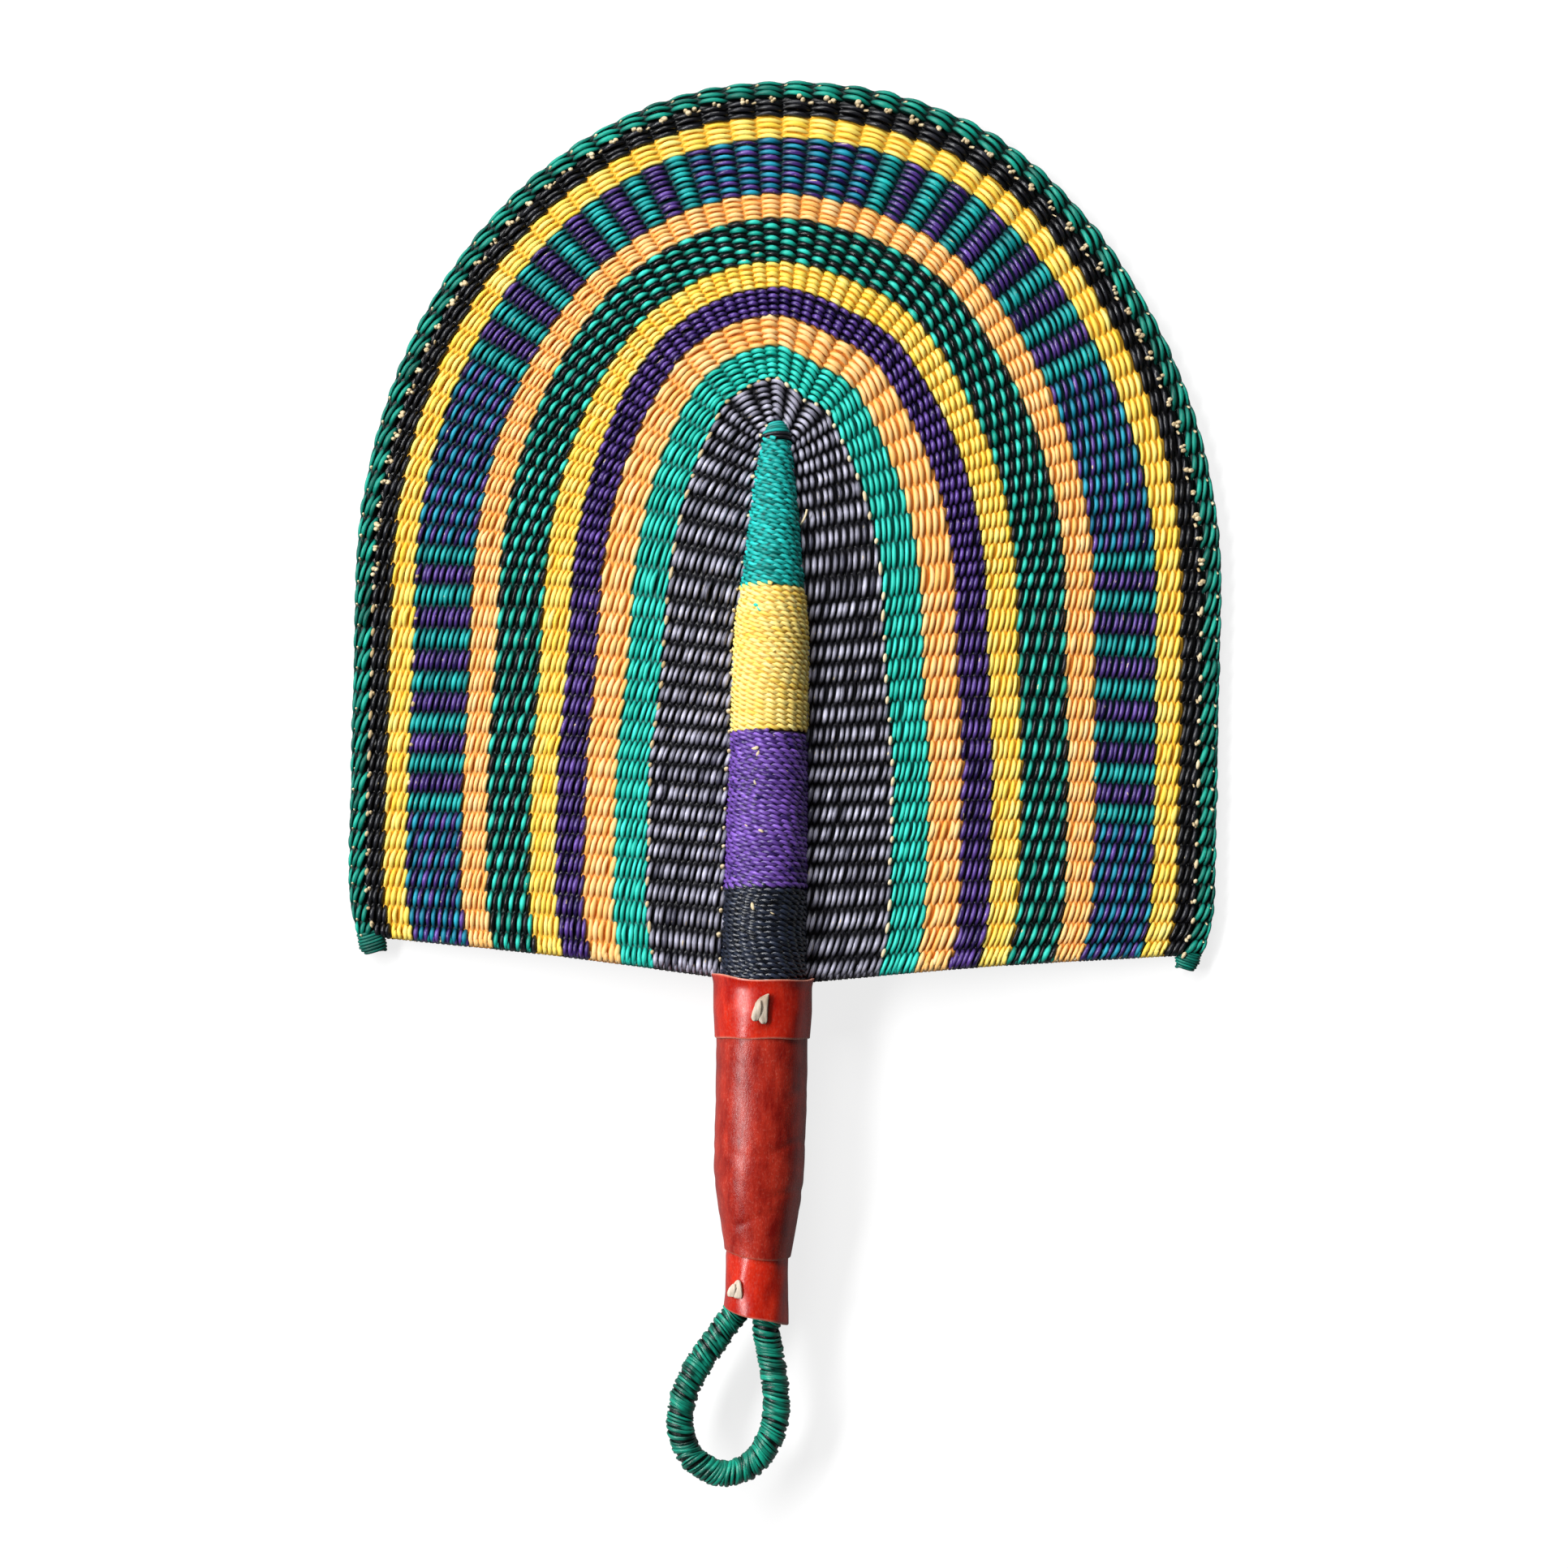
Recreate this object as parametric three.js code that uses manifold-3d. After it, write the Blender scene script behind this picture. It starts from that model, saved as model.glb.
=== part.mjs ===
// A hand fan of twined grass, lying on its back.
// The blade is woven in coloured bands round stakes that turn down into the handle as its core. Twisted cord
// is wound round that core, leather covers the grip, and a wound loop at the end hangs the fan up.
// Millimetres. Inside the fan X is across the blade, Y runs along the handle towards the crown and Z is up.
// Y = 0 is the foot of the blade and Z = 0 the axis of the handle. The whole fan is then set down with the
// flat under its upper collar at the origin.
import * as THREE from 'three';
import { mergeVertices } from 'three/addons/utils/BufferGeometryUtils.js';
import Module from 'manifold-3d';

const wasm = await Module();
wasm.setup();

// Clearance between pieces that touch
const clearance = 0.3;

// Outline of the blade, measured to the outside of the rim
const reachLeft = 144.5;
const reachRight = 155.5;
const crownHeight = 310;
const springHeight = 134;
const cornerHeight = 9.5;
const cornerDrawIn = 4.5;
const cornerLength = 22;

// Rim braid
const rimWidth = 6.6;
const rimThickness = 7;
const rimTailLength = 5;
const rimTailLean = 2.5;

// Widths of the bands along the stakes
const blackOuterWidth = 6.1;
const yellowOuterWidth = 7.6;
const checkWidth = 19.3;
const orangeOuterWidth = 8.7;
const greenBlackWidth = 15;
const yellowInnerWidth = 9;
const purpleWidth = 9.7;
const orangeInnerWidth = 10.6;
const tealWidth = 11.2;

// Bands from the rim inward. The black field fills what is left.
const bands = [
  { name: 'band_black_outer', width: blackOuterWidth, color: 0x26262c },
  { name: 'band_yellow_outer', width: yellowOuterWidth, color: 0xe9b935 },
  { name: 'band_check', width: checkWidth, color: 0x1f6f80 },
  { name: 'band_orange_outer', width: orangeOuterWidth, color: 0xf0994a },
  { name: 'band_green_black', width: greenBlackWidth, color: 0x0f5a49 },
  { name: 'band_yellow_inner', width: yellowInnerWidth, color: 0xe9b935 },
  { name: 'band_purple', width: purpleWidth, color: 0x3a1f74 },
  { name: 'band_orange_inner', width: orangeInnerWidth, color: 0xf0994a },
  { name: 'band_teal', width: tealWidth, color: 0x12a58c },
];
const blackField = { name: 'band_black_field', color: 0x2b2b33 };
const forkBand = 'band_purple';
const weaveThickness = 6.8;

// How much wider the rows are on the right side, and at the shoulders, where the sides turn into the arch
const rightRowStretch = 0.085;
const shoulderRowStretch = 0.055;
const shoulderShare = 0.5;
const shoulderSpread = 0.28;

// Stakes
const singlesPerSide = 18;
const pairsPerSide = 14;
const stakeWidth = 2.6;
const stakeThickness = 3;
const stakeButt = 1.5;
const pairSpread = 2.34;
const firstStakeShare = 0.7;
const pitchGrowth = 1.75;
const sideTilt = -1;
const footTilt = 6;
const footTiltShare = 0.14;
const forkRun = 4;
const tangWidth = 0.7;
const slabHalf = 1.5;

// Handle winding, outside radii at the foot, at the two upper colour changes and at the top
const cordDiameter = 2.4;
const windingPitch = 4;
const stepsPerTurn = 10;
const windingFootRadius = 15.3;
const windingPurpleRadius = 13.3;
const windingYellowRadius = 11.3;
const windingTopRadius = 6.2;
const blackWindingLength = 31;
const purpleWindingLength = 53;
const yellowWindingLength = 50;
const crownSpan = 120;
const windingTuck = 3;

// Tip of the handle
const hubRadius = 5;
const hubThickness = 1.8;
const knotCordDiameter = 3;
const knotSpan = 6;
const knotBend = 1.4;
const knotArch = 0.9;

// Leather grip
const collarLength = 20.5;
const collarWall = 1.6;
const collarFlare = 0.7;
const collarFlareLength = 4;
const collarSetback = 1.2;
const collarFlatDepth = 0.5;
const sleeveOverlap = 15;
const sleeveRadius = 15.4;
const sleeveWall = 1.8;
const sleeveMouthRadius = 11.1;
const sleeveMouthWall = 1.3;
const sleeveTaperLength = 30;
const sleeveMouthLength = 6.5;
const sleeveLength = 88;
const lowerCollarLength = 20.5;
const lowerCollarRadius = 10.9;
const lowerCollarMouthRadius = 11.4;
const lowerCollarWall = 1.3;
const lowerCollarMouthDepth = 7;

// Rawhide laces
const laceDiameter = 2.6;
const laceSpan = 7.5;
const laceTwist = 12;
const laceShoulderHeight = 0.6;
const laceBendShare = 0.55;
const upperLaceShare = 0.52;
const upperLaceTurn = -3;
const lowerLaceRise = 10;
const lowerLaceTurn = -38;

// Hanging loop, as points of its centre line from leg to leg, measured from the mouth of the lower collar
const loopPoints = [
  [-5, 0], [-6.6, -5.5], [-17, -16.9], [-22.8, -25.3], [-24.8, -34], [-23.2, -45], [-17.4, -52.2], [-9, -54.8],
  [0.4, -50.4], [5.8, -42], [7.6, -32.5], [6.6, -20], [5, -5.5], [5, 0],
];
const loopDiameter = 9.4;
const loopCordDiameter = 2.4;
const loopTurns = 24;
const loopTurnSteps = 8;
const loopBareEnd = 3.6;

// Roundness of turned pieces and of small cords
const turnedSides = 24;
const cordSides = 5;

const stakesPerSide = singlesPerSide + 2 * pairsPerSide;
const windingFoot = -collarSetback - windingTuck;
const tipHeight = crownHeight - crownSpan;
const windingTop = tipHeight - 2 * hubRadius - cordDiameter;
const purpleTop = blackWindingLength + purpleWindingLength;
const yellowTop = purpleTop + yellowWindingLength;
const collarTop = -collarSetback;
const collarInner = Math.max(sleeveRadius, windingFootRadius) + clearance;
const collarOuter = collarInner + collarWall;
const collarBottom = collarTop - collarLength;
const axisHeight = collarOuter - collarFlatDepth;
const sleeveTop = collarBottom + sleeveOverlap;
const sleeveBottom = sleeveTop - sleeveLength;
const lowerCollarTop = sleeveBottom + sleeveMouthLength - clearance;
const mouthLevel = sleeveBottom - clearance - lowerCollarLength;
const spigotRadius = sleeveMouthRadius - sleeveMouthWall - clearance;
const spigotBore = spigotRadius - lowerCollarWall;
const loopCoreRadius = loopDiameter / 2 - loopCordDiameter - clearance;
const coreBottom = mouthLevel + loopCoreRadius + clearance;
const slotHalf = stakeThickness / 2 + clearance;
const degree = Math.PI / 180;

// Solids and booleans

function geometryOf(positions, triangles) {
  const geometry = new THREE.BufferGeometry();
  geometry.setAttribute('position', new THREE.Float32BufferAttribute(positions, 3));
  geometry.setIndex(triangles);
  return geometry;
}

function signedVolume(geometry) {
  const points = geometry.attributes.position;
  const index = geometry.index.array;
  const corner = [new THREE.Vector3(), new THREE.Vector3(), new THREE.Vector3()];
  let sum = 0;
  for (let i = 0; i < index.length; i += 3) {
    corner.forEach((point, k) => point.fromBufferAttribute(points, index[i + k]));
    sum += corner[0].dot(corner[1].cross(corner[2])) / 6;
  }
  return sum;
}

// Closed body from points and faces, with the faces turned outward
function facesOut(points, faces) {
  const positions = points.flatMap((point) => [point.x, point.y, point.z]);
  const triangles = [];
  for (const face of faces) {
    for (let k = 1; k + 1 < face.length; k += 1) {
      triangles.push([face[0], face[k], face[k + 1]]);
    }
  }
  const geometry = geometryOf(positions, triangles.flat());
  if (signedVolume(geometry) < 0) {
    geometry.setIndex(triangles.map(([a, b, c]) => [a, c, b]).flat());
  }
  return geometry;
}

// Rings of points joined in order and closed at both ends
function loft(rings) {
  const count = rings[0].length;
  const faces = [];
  for (let row = 0; row + 1 < rings.length; row += 1) {
    for (let k = 0; k < count; k += 1) {
      const a = row * count + k;
      const b = row * count + ((k + 1) % count);
      faces.push([a, b, b + count, a + count]);
    }
  }
  const last = (rings.length - 1) * count;
  const around = Array.from({ length: count }, (_, k) => k);
  faces.push([...around].reverse(), around.map((k) => last + k));
  return facesOut(rings.flat(), faces);
}

function mergedPoints(geometry) {
  const bare = geometry.clone();
  bare.deleteAttribute('normal');
  bare.deleteAttribute('uv');
  return mergeVertices(bare, 1e-4);
}

function solidOf(geometry) {
  const merged = mergedPoints(geometry);
  return new wasm.Manifold(new wasm.Mesh({
    numProp: 3,
    vertProperties: new Float32Array(merged.attributes.position.array),
    triVerts: new Uint32Array(merged.index.array),
  }));
}

function geometryFrom(solid) {
  const mesh = solid.getMesh();
  return geometryOf(Array.from(mesh.vertProperties), Array.from(mesh.triVerts));
}

function joined(geometries) {
  return geometryFrom(geometries.map(solidOf).reduce((sum, solid) => sum.add(solid)));
}

function cut(geometry, cutters) {
  return geometryFrom(cutters.map(solidOf).reduce((sum, solid) => sum.subtract(solid), solidOf(geometry)));
}

// Turned piece about the handle's axis, from a closed outline of [radius, y] points
function turned(outline) {
  const closed = [...outline, outline[0]].map(([radius, y]) => new THREE.Vector2(radius, y));
  const geometry = mergedPoints(new THREE.LatheGeometry(closed, turnedSides, Math.PI / turnedSides));
  if (signedVolume(geometry) < 0) {
    const index = geometry.index.array;
    for (let i = 0; i < index.length; i += 3) {
      [index[i + 1], index[i + 2]] = [index[i + 2], index[i + 1]];
    }
  }
  return geometryFrom(solidOf(geometry));
}

// Round cord along points. At point k, side(k) is a direction across it and swell(k) a share of its width.
function cord(points, diameter, sides, side, swell = () => 1) {
  const rings = points.map((point, k) => {
    const before = points[Math.max(k - 1, 0)];
    const after = points[Math.min(k + 1, points.length - 1)];
    const along = after.clone().sub(before).normalize();
    const across = side(k).clone();
    across.addScaledVector(along, -across.dot(along)).normalize();
    const third = along.clone().cross(across);
    const radius = (swell(k) * diameter) / 2;
    return Array.from({ length: sides }, (_, s) => {
      const angle = (2 * Math.PI * s) / sides;
      return point.clone()
        .addScaledVector(across, Math.cos(angle) * radius)
        .addScaledVector(third, Math.sin(angle) * radius);
    });
  });
  return loft(rings);
}

// Least gap of a cord to itself, between stretches that are over half a turn apart along it
function leastSelfGap(points, diameter, turnSteps) {
  const curve = [];
  const fine = 4;
  for (let k = 0; k + 1 < points.length; k += 1) {
    for (let f = 0; f < fine; f += 1) {
      curve.push(points[k].clone().lerp(points[k + 1], f / fine));
    }
  }
  const apart = Math.floor((turnSteps * fine) / 2);
  const turnsAhead = 2;
  let least = Infinity;
  for (let a = 0; a < curve.length; a += 1) {
    const end = Math.min(curve.length, a + apart + turnsAhead * turnSteps * fine);
    for (let b = a + apart; b < end; b += 1) {
      least = Math.min(least, curve[a].distanceTo(curve[b]));
    }
  }
  return least - diameter;
}

// Half outlines of the rim, from corner to crown, as fine points with their length so far

const legSteps = 60;
const arcSteps = 180;

function halfRim(reach) {
  const points = [];
  for (let k = 0; k < legSteps; k += 1) {
    const y = cornerHeight + ((springHeight - cornerHeight) * k) / legSteps;
    const below = Math.max(0, 1 - (y - cornerHeight) / cornerLength);
    points.push(new THREE.Vector2(reach - cornerDrawIn * below * below, y));
  }
  for (let k = 0; k <= arcSteps; k += 1) {
    const angle = (Math.PI / 2) * (k / arcSteps);
    const y = springHeight + (crownHeight - springHeight) * Math.sin(angle);
    points.push(new THREE.Vector2(reach * Math.cos(angle), y));
  }
  const lengths = [0];
  for (let k = 1; k < points.length; k += 1) {
    lengths.push(lengths[k - 1] + points[k].distanceTo(points[k - 1]));
  }
  return { points, lengths, total: lengths[lengths.length - 1] };
}

const rims = { left: halfRim(reachLeft), right: halfRim(reachRight) };
const signs = { left: -1, right: 1 };
const crownStation = stakesPerSide + firstStakeShare - 0.5;

// Share of the half rim at a share of the stations, which lie closer at the corners, and the way back
const meanPitch = (1 + pitchGrowth) / 2;
const rimShare = (share) => (share + ((pitchGrowth - 1) * share * share) / 2) / meanPitch;
const stationShare = (part) => {
  const growth = pitchGrowth - 1;
  return (Math.sqrt(1 + 2 * growth * part * meanPitch) - 1) / growth;
};

// Rib at a station on one side: where it meets the rim and the way it runs inward
function trueRib(side, station) {
  const rim = rims[side];
  const share = station / crownStation;
  const length = rim.total * rimShare(share);
  let k = 1;
  while (k < rim.lengths.length - 1 && rim.lengths[k] < length) k += 1;
  const part = (length - rim.lengths[k - 1]) / (rim.lengths[k] - rim.lengths[k - 1]);
  const at = rim.points[k - 1].clone().lerp(rim.points[k], part);
  const reach = side === 'left' ? reachLeft : reachRight;
  const rise = crownHeight - springHeight;
  const above = Math.max(0, at.y - springHeight);
  const normal = Math.atan2(above / (rise * rise), Math.max(0, at.x) / (reach * reachLeft));
  const foot = Math.max(0, 1 - share / footTiltShare);
  const tilt = sideTilt * (1 - share) + footTilt * foot * foot;
  const angle = normal + tilt * degree;
  const shoulder = Math.max(0, 1 - ((share - shoulderShare) / shoulderSpread) ** 2);
  const onRight = side === 'left' ? 0 : Math.min(1, 2 * (1 - share));
  const stretch = 1 + shoulderRowStretch * shoulder + rightRowStretch * onRight;
  return { at, angle, stretch };
}

// The blade is made of flat facets between a few of its ribs, which all its pieces share
const arcFacets = 8;

function facetStations(side) {
  const rim = rims[side];
  const stationAt = (length) => crownStation * stationShare(length / rim.total);
  const cornerEnd = stationAt(cornerLength);
  const spring = stationAt(rim.lengths[legSteps]);
  const stations = [0, cornerEnd / 2, cornerEnd, (cornerEnd + spring) / 2];
  for (let k = 0; k <= arcFacets; k += 1) {
    stations.push(stationAt(rim.lengths[legSteps + Math.round((arcSteps * k) / arcFacets)]));
  }
  return stations;
}

const facets = { left: facetStations('left'), right: facetStations('right') };

// Rib at any station, between the two facet ribs beside it
function rib(side, station) {
  const stations = facets[side];
  let k = 1;
  while (k < stations.length - 1 && stations[k] < station) k += 1;
  const part = (station - stations[k - 1]) / (stations[k] - stations[k - 1]);
  return { side, near: trueRib(side, stations[k - 1]), far: trueRib(side, stations[k]), part };
}

// Point on the blade at a depth along a rib, lifted off the blade or moved aside along the rows
function bladePoint(line, depth, lift = 0, aside = 0) {
  const onRib = ({ at, angle, stretch }) => new THREE.Vector2(
    at.x - depth * stretch * Math.cos(angle),
    at.y - depth * stretch * Math.sin(angle),
  );
  const angle = THREE.MathUtils.lerp(line.near.angle, line.far.angle, line.part);
  const point = onRib(line.near).lerp(onRib(line.far), line.part);
  const x = point.x - aside * Math.sin(angle);
  const y = point.y + aside * Math.cos(angle);
  return new THREE.Vector3(signs[line.side] * x, y, bladeLevel(depth) + lift);
}

// Height of the blade: it droops from the handle's axis to the rim, which lies on the ground
function bladeLevel(depth) {
  const rimLevel = rimThickness / 2 - axisHeight;
  const fall = -rimLevel / (reachLeft - windingFootRadius - rimWidth / 2);
  return rimLevel + fall * (depth - rimWidth / 2);
}

const hubLevel = bladeLevel(crownSpan);

// Outside radius of the handle's winding at a height
function windingRadius(y) {
  const levels = [windingFoot, purpleTop, yellowTop, windingTop];
  const radii = [windingFootRadius, windingPurpleRadius, windingYellowRadius, windingTopRadius];
  if (y <= levels[0]) return radii[0];
  for (let k = 1; k < levels.length; k += 1) {
    if (y <= levels[k]) {
      return THREE.MathUtils.mapLinear(y, levels[k - 1], levels[k], radii[k - 1], radii[k]);
    }
  }
  return windingTopRadius;
}

// Depth at which a rib reaches the handle, with a clearance
function handleDepth(line, gap) {
  let near = 0;
  let far = 2 * crownSpan;
  const inside = (depth) => {
    const point = bladePoint(line, depth);
    const ahead = point.y - (tipHeight - hubRadius);
    if (ahead > 0) return Math.hypot(point.x, ahead) < hubRadius + gap;
    return Math.abs(point.x) < windingRadius(point.y) + gap;
  };
  const stride = 0.4;
  const closeEnough = 1e-6;
  while (near + stride < far && !inside(near + stride)) near += stride;
  far = near + stride;
  while (far - near > closeEnough) {
    const middle = (near + far) / 2;
    if (inside(middle)) far = middle;
    else near = middle;
  }
  return near;
}

// Bands: a sleeve of front and back skins, closed below the lowest stake of each side

const endStation = 0.2;
const slotStation = 0.4;

function archLines(firstStation) {
  const half = (side) => [firstStation, ...facets[side].filter((station) => station > firstStation)]
    .map((station) => rib(side, station));
  return [...half('left'), ...half('right').reverse().slice(1)];
}

// Skins of a band at one rib: front outside and inside, back inside and outside, each as outer and inner edge
function bandRing(line, outer, inner) {
  const deep = typeof inner === 'function' ? inner(line) : inner;
  const lifts = [weaveThickness / 2, slotHalf, -slotHalf, -weaveThickness / 2];
  return lifts.flatMap((lift) => [bladePoint(line, outer, lift), bladePoint(line, deep, lift)]);
}

function sleeveBand(outer, inner) {
  const lines = archLines(slotStation);
  const rings = lines.map((line) => bandRing(line, outer, inner));
  const ends = ['left', 'right'].map((side) => bandRing(rib(side, endStation), outer, inner));
  const points = [...rings, ...ends].flat();
  const quads = [];
  const skinSides = [[0, 1], [1, 3], [3, 2], [2, 0], [4, 5], [5, 7], [7, 6], [6, 4]];
  for (let row = 0; row + 1 < rings.length; row += 1) {
    const near = 8 * row;
    const far = near + 8;
    skinSides.forEach(([a, b]) => quads.push([near + a, near + b, far + b, far + a]));
  }
  const closeEnd = (slot, end, turn) => {
    const faces = [
      [slot + 0, slot + 1, end + 1, end + 0],
      [slot + 7, slot + 6, end + 6, end + 7],
      [slot + 1, slot + 3, slot + 5, slot + 7, end + 7, end + 1],
      [slot + 0, end + 0, end + 6, slot + 6, slot + 4, slot + 2],
      [slot + 2, slot + 4, slot + 5, slot + 3],
      [end + 0, end + 1, end + 7, end + 6],
    ];
    faces.forEach((face) => quads.push(turn ? face.reverse() : face));
  };
  const endRows = 8 * rings.length;
  closeEnd(8 * (rings.length - 1), endRows + 8, false);
  closeEnd(0, endRows, true);
  return facesOut(points, quads);
}

function rimBraid() {
  const lines = archLines(0);
  const sides = 8;
  const flat = Math.cos(Math.PI / sides);
  const ring = (line, shift) => Array.from({ length: sides }, (_, k) => {
    const angle = (2 * Math.PI * (k + 0.5)) / sides;
    const depth = rimWidth / 2 + (rimWidth / 2) * (Math.cos(angle) / flat);
    const point = bladePoint(line, depth);
    point.z = rimThickness / 2 - axisHeight + (rimThickness / 2) * (Math.sin(angle) / flat);
    return point.add(shift);
  });
  const tail = (line) => {
    const shift = new THREE.Vector3(-signs[line.side] * rimTailLean, -rimTailLength, 0);
    return ring(line, shift);
  };
  const none = new THREE.Vector3();
  const last = lines.length - 1;
  return loft([tail(lines[0]), ...lines.map((line) => ring(line, none)), tail(lines[last])]);
}

// Stakes

function bar(points, widths, thickness) {
  const up = new THREE.Vector3(0, 0, 1);
  return loft(points.map((point, k) => {
    const before = points[Math.max(k - 1, 0)];
    const after = points[Math.min(k + 1, points.length - 1)];
    const along = after.clone().sub(before).setZ(0).normalize();
    const across = up.clone().cross(along).multiplyScalar(widths[k] / 2);
    const lift = up.clone().multiplyScalar(thickness / 2);
    return [
      point.clone().add(across).add(lift),
      point.clone().sub(across).add(lift),
      point.clone().sub(across).sub(lift),
      point.clone().add(across).sub(lift),
    ];
  }));
}

const depthOf = {};
let woven = rimWidth;
for (const band of bands) {
  depthOf[band.name] = { outer: woven, inner: woven + band.width };
  woven += band.width;
}
const forkDepth = depthOf[forkBand].inner;
const rimEnd = rimWidth + clearance + stakeWidth / 4;

// Height of the gap between two turns of the winding that lies nearest to y on one side
function turnGap(side, y) {
  const shift = side === 'right' ? 0.5 : 0;
  const turn = Math.round((windingTop - y) / windingPitch - shift) + shift;
  return windingTop - windingPitch * Math.max(turn, 1 + shift);
}

// Inner end of a stake. Below the tip it narrows to a tang that goes in between two turns of the winding;
// round the tip it runs to the hub. It stays in the plane of the blade.
function stakeRoot(line) {
  const depth = handleDepth(line, clearance + stakeWidth);
  const meets = bladePoint(line, depth);
  const inPlane = (x, y) => {
    const stretch = THREE.MathUtils.lerp(line.near.stretch, line.far.stretch, line.part);
    const further = Math.hypot(x - meets.x, y - meets.y) / stretch;
    return new THREE.Vector3(x, y, bladeLevel(depth + further));
  };
  const steep = meets.y > windingTop + cordDiameter;
  if (steep) {
    const hub = new THREE.Vector3(0, tipHeight - hubRadius, hubLevel);
    return { steep, points: [meets, hub], widths: [stakeWidth, stakeWidth] };
  }
  const y = turnGap(line.side, meets.y);
  const sign = signs[line.side];
  const flat = slabHalf + clearance;
  const outside = inPlane(sign * (windingRadius(y) + clearance), y);
  const buried = inPlane(sign * (flat + coreRadius(y)) / 2, y).setZ(outside.z);
  return { steep, points: [meets, outside, buried], widths: [stakeWidth, tangWidth, tangWidth] };
}

function singleStake(side, index) {
  const line = rib(side, index + firstStakeShare);
  const root = stakeRoot(line);
  const points = [bladePoint(line, rimEnd), ...root.points];
  return { steep: root.steep, solids: [bar(points, [stakeWidth, ...root.widths], stakeThickness)] };
}

// Pair of stakes: the main one starts in the handle, the added one at the inner edge of the last band.
// They lie side by side to the fork, and each has its own rib from there to the rim.
function stakePair(side, index) {
  const station = index + firstStakeShare;
  const trunk = rib(side, station + 0.5);
  const aside = pairSpread / 2;
  const branch = (line, shift) => [
    bladePoint(line, rimEnd),
    bladePoint(line, forkDepth),
    bladePoint(trunk, forkDepth + forkRun, 0, shift),
  ];
  const root = stakeRoot(trunk);
  const wide = Array(3).fill(stakeWidth);
  const butt = bladePoint(trunk, woven + stakeButt, 0, aside);
  const mainPoints = [...branch(rib(side, station), -aside), ...root.points];
  const addedPoints = [...branch(rib(side, station + 1), aside), butt];
  const main = bar(mainPoints, [...wide, ...root.widths], stakeThickness);
  const added = bar(addedPoints, [...wide, stakeWidth], stakeThickness);
  return { steep: root.steep, solids: [main, added] };
}

// Core of the handle: the bundled inner ends of the stakes, in two halves with a slab between them

function windingCoreRadius(y) {
  const onChord = (windingRadius(y) - cordDiameter / 2) * Math.cos(Math.PI / stepsPerTurn);
  return onChord - cordDiameter / 2 - clearance;
}

function sleeveOutside(y) {
  const taperTop = sleeveBottom + sleeveTaperLength;
  if (y >= taperTop) return sleeveRadius;
  const share = (taperTop - y) / (taperTop - sleeveBottom);
  return THREE.MathUtils.lerp(sleeveRadius, sleeveMouthRadius, share ** 1.5);
}

function sleeveInside(y) {
  const mouthTop = sleeveBottom + sleeveMouthLength;
  return y <= mouthTop ? sleeveMouthRadius - sleeveMouthWall : sleeveOutside(y) - sleeveWall;
}

const neckTop = lowerCollarTop + 2 * clearance;
const neckSlack = 3;
const neckShoulder = 2;
const neckSpread = 10;

function coreRadius(y) {
  if (y >= sleeveTop) return Math.min(windingCoreRadius(y), sleeveInside(sleeveTop) - clearance);
  if (y > neckTop) return Math.min(sleeveInside(y), sleeveInside(y - neckSlack)) - clearance;
  return spigotBore - clearance;
}

const coreLevels = [
  coreBottom, neckTop, neckTop + neckShoulder, neckTop + neckSpread, sleeveBottom + sleeveTaperLength,
  sleeveTop, blackWindingLength, purpleTop, yellowTop, windingTop - windingPitch + tangWidth,
];

function halfCore(sign) {
  const flat = slabHalf + clearance;
  const corners = 7;
  return loft(coreLevels.map((y) => {
    const radius = coreRadius(y);
    const spread = Math.acos(flat / radius);
    return Array.from({ length: corners }, (_, k) => {
      const angle = THREE.MathUtils.lerp(-spread, spread, k / (corners - 1));
      return new THREE.Vector3(sign * radius * Math.cos(angle), y, radius * Math.sin(angle));
    });
  }));
}

function middleCore() {
  const slab = loft(coreLevels.map((y) => {
    const half = Math.sqrt(coreRadius(y) ** 2 - slabHalf ** 2) - clearance;
    return [[-1, -1], [1, -1], [1, 1], [-1, 1]]
      .map(([x, z]) => new THREE.Vector3(x * slabHalf, y, z * half));
  }));
  const hub = new THREE.CylinderGeometry(hubRadius, hubRadius, hubThickness, turnedSides / 2);
  hub.rotateX(Math.PI / 2);
  hub.translate(0, tipHeight - hubRadius, hubLevel);
  const neck = bar([
    new THREE.Vector3(0, windingTop - 2 * windingPitch, hubLevel),
    new THREE.Vector3(0, tipHeight - hubRadius, hubLevel),
  ], [2 * slabHalf, 2 * slabHalf], hubThickness);
  return joined([slab, neck, hub]);
}

function stakeBundles() {
  const solids = { left: [halfCore(-1)], right: [halfCore(1)], crown: [middleCore()] };
  for (const side of ['left', 'right']) {
    for (let k = 0; k < singlesPerSide; k += 1) {
      const stake = singleStake(side, k);
      solids[stake.steep ? 'crown' : side].push(...stake.solids);
    }
    for (let k = 0; k < pairsPerSide; k += 1) {
      const pair = stakePair(side, singlesPerSide + 2 * k);
      solids[pair.steep ? 'crown' : side].push(...pair.solids);
    }
  }
  return solids;
}

// Handle winding: one helix down the handle, cut into four colours at the back of the handle

function helixPoint(turns) {
  const y = windingTop - windingPitch * turns;
  const radius = windingRadius(y) - cordDiameter / 2;
  const angle = 2 * Math.PI * turns;
  return new THREE.Vector3(radius * Math.cos(angle), y, radius * Math.sin(angle));
}

function turnsAt(y) {
  const back = 0.75;
  return Math.round((windingTop - y) / windingPitch - back) + back;
}

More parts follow.
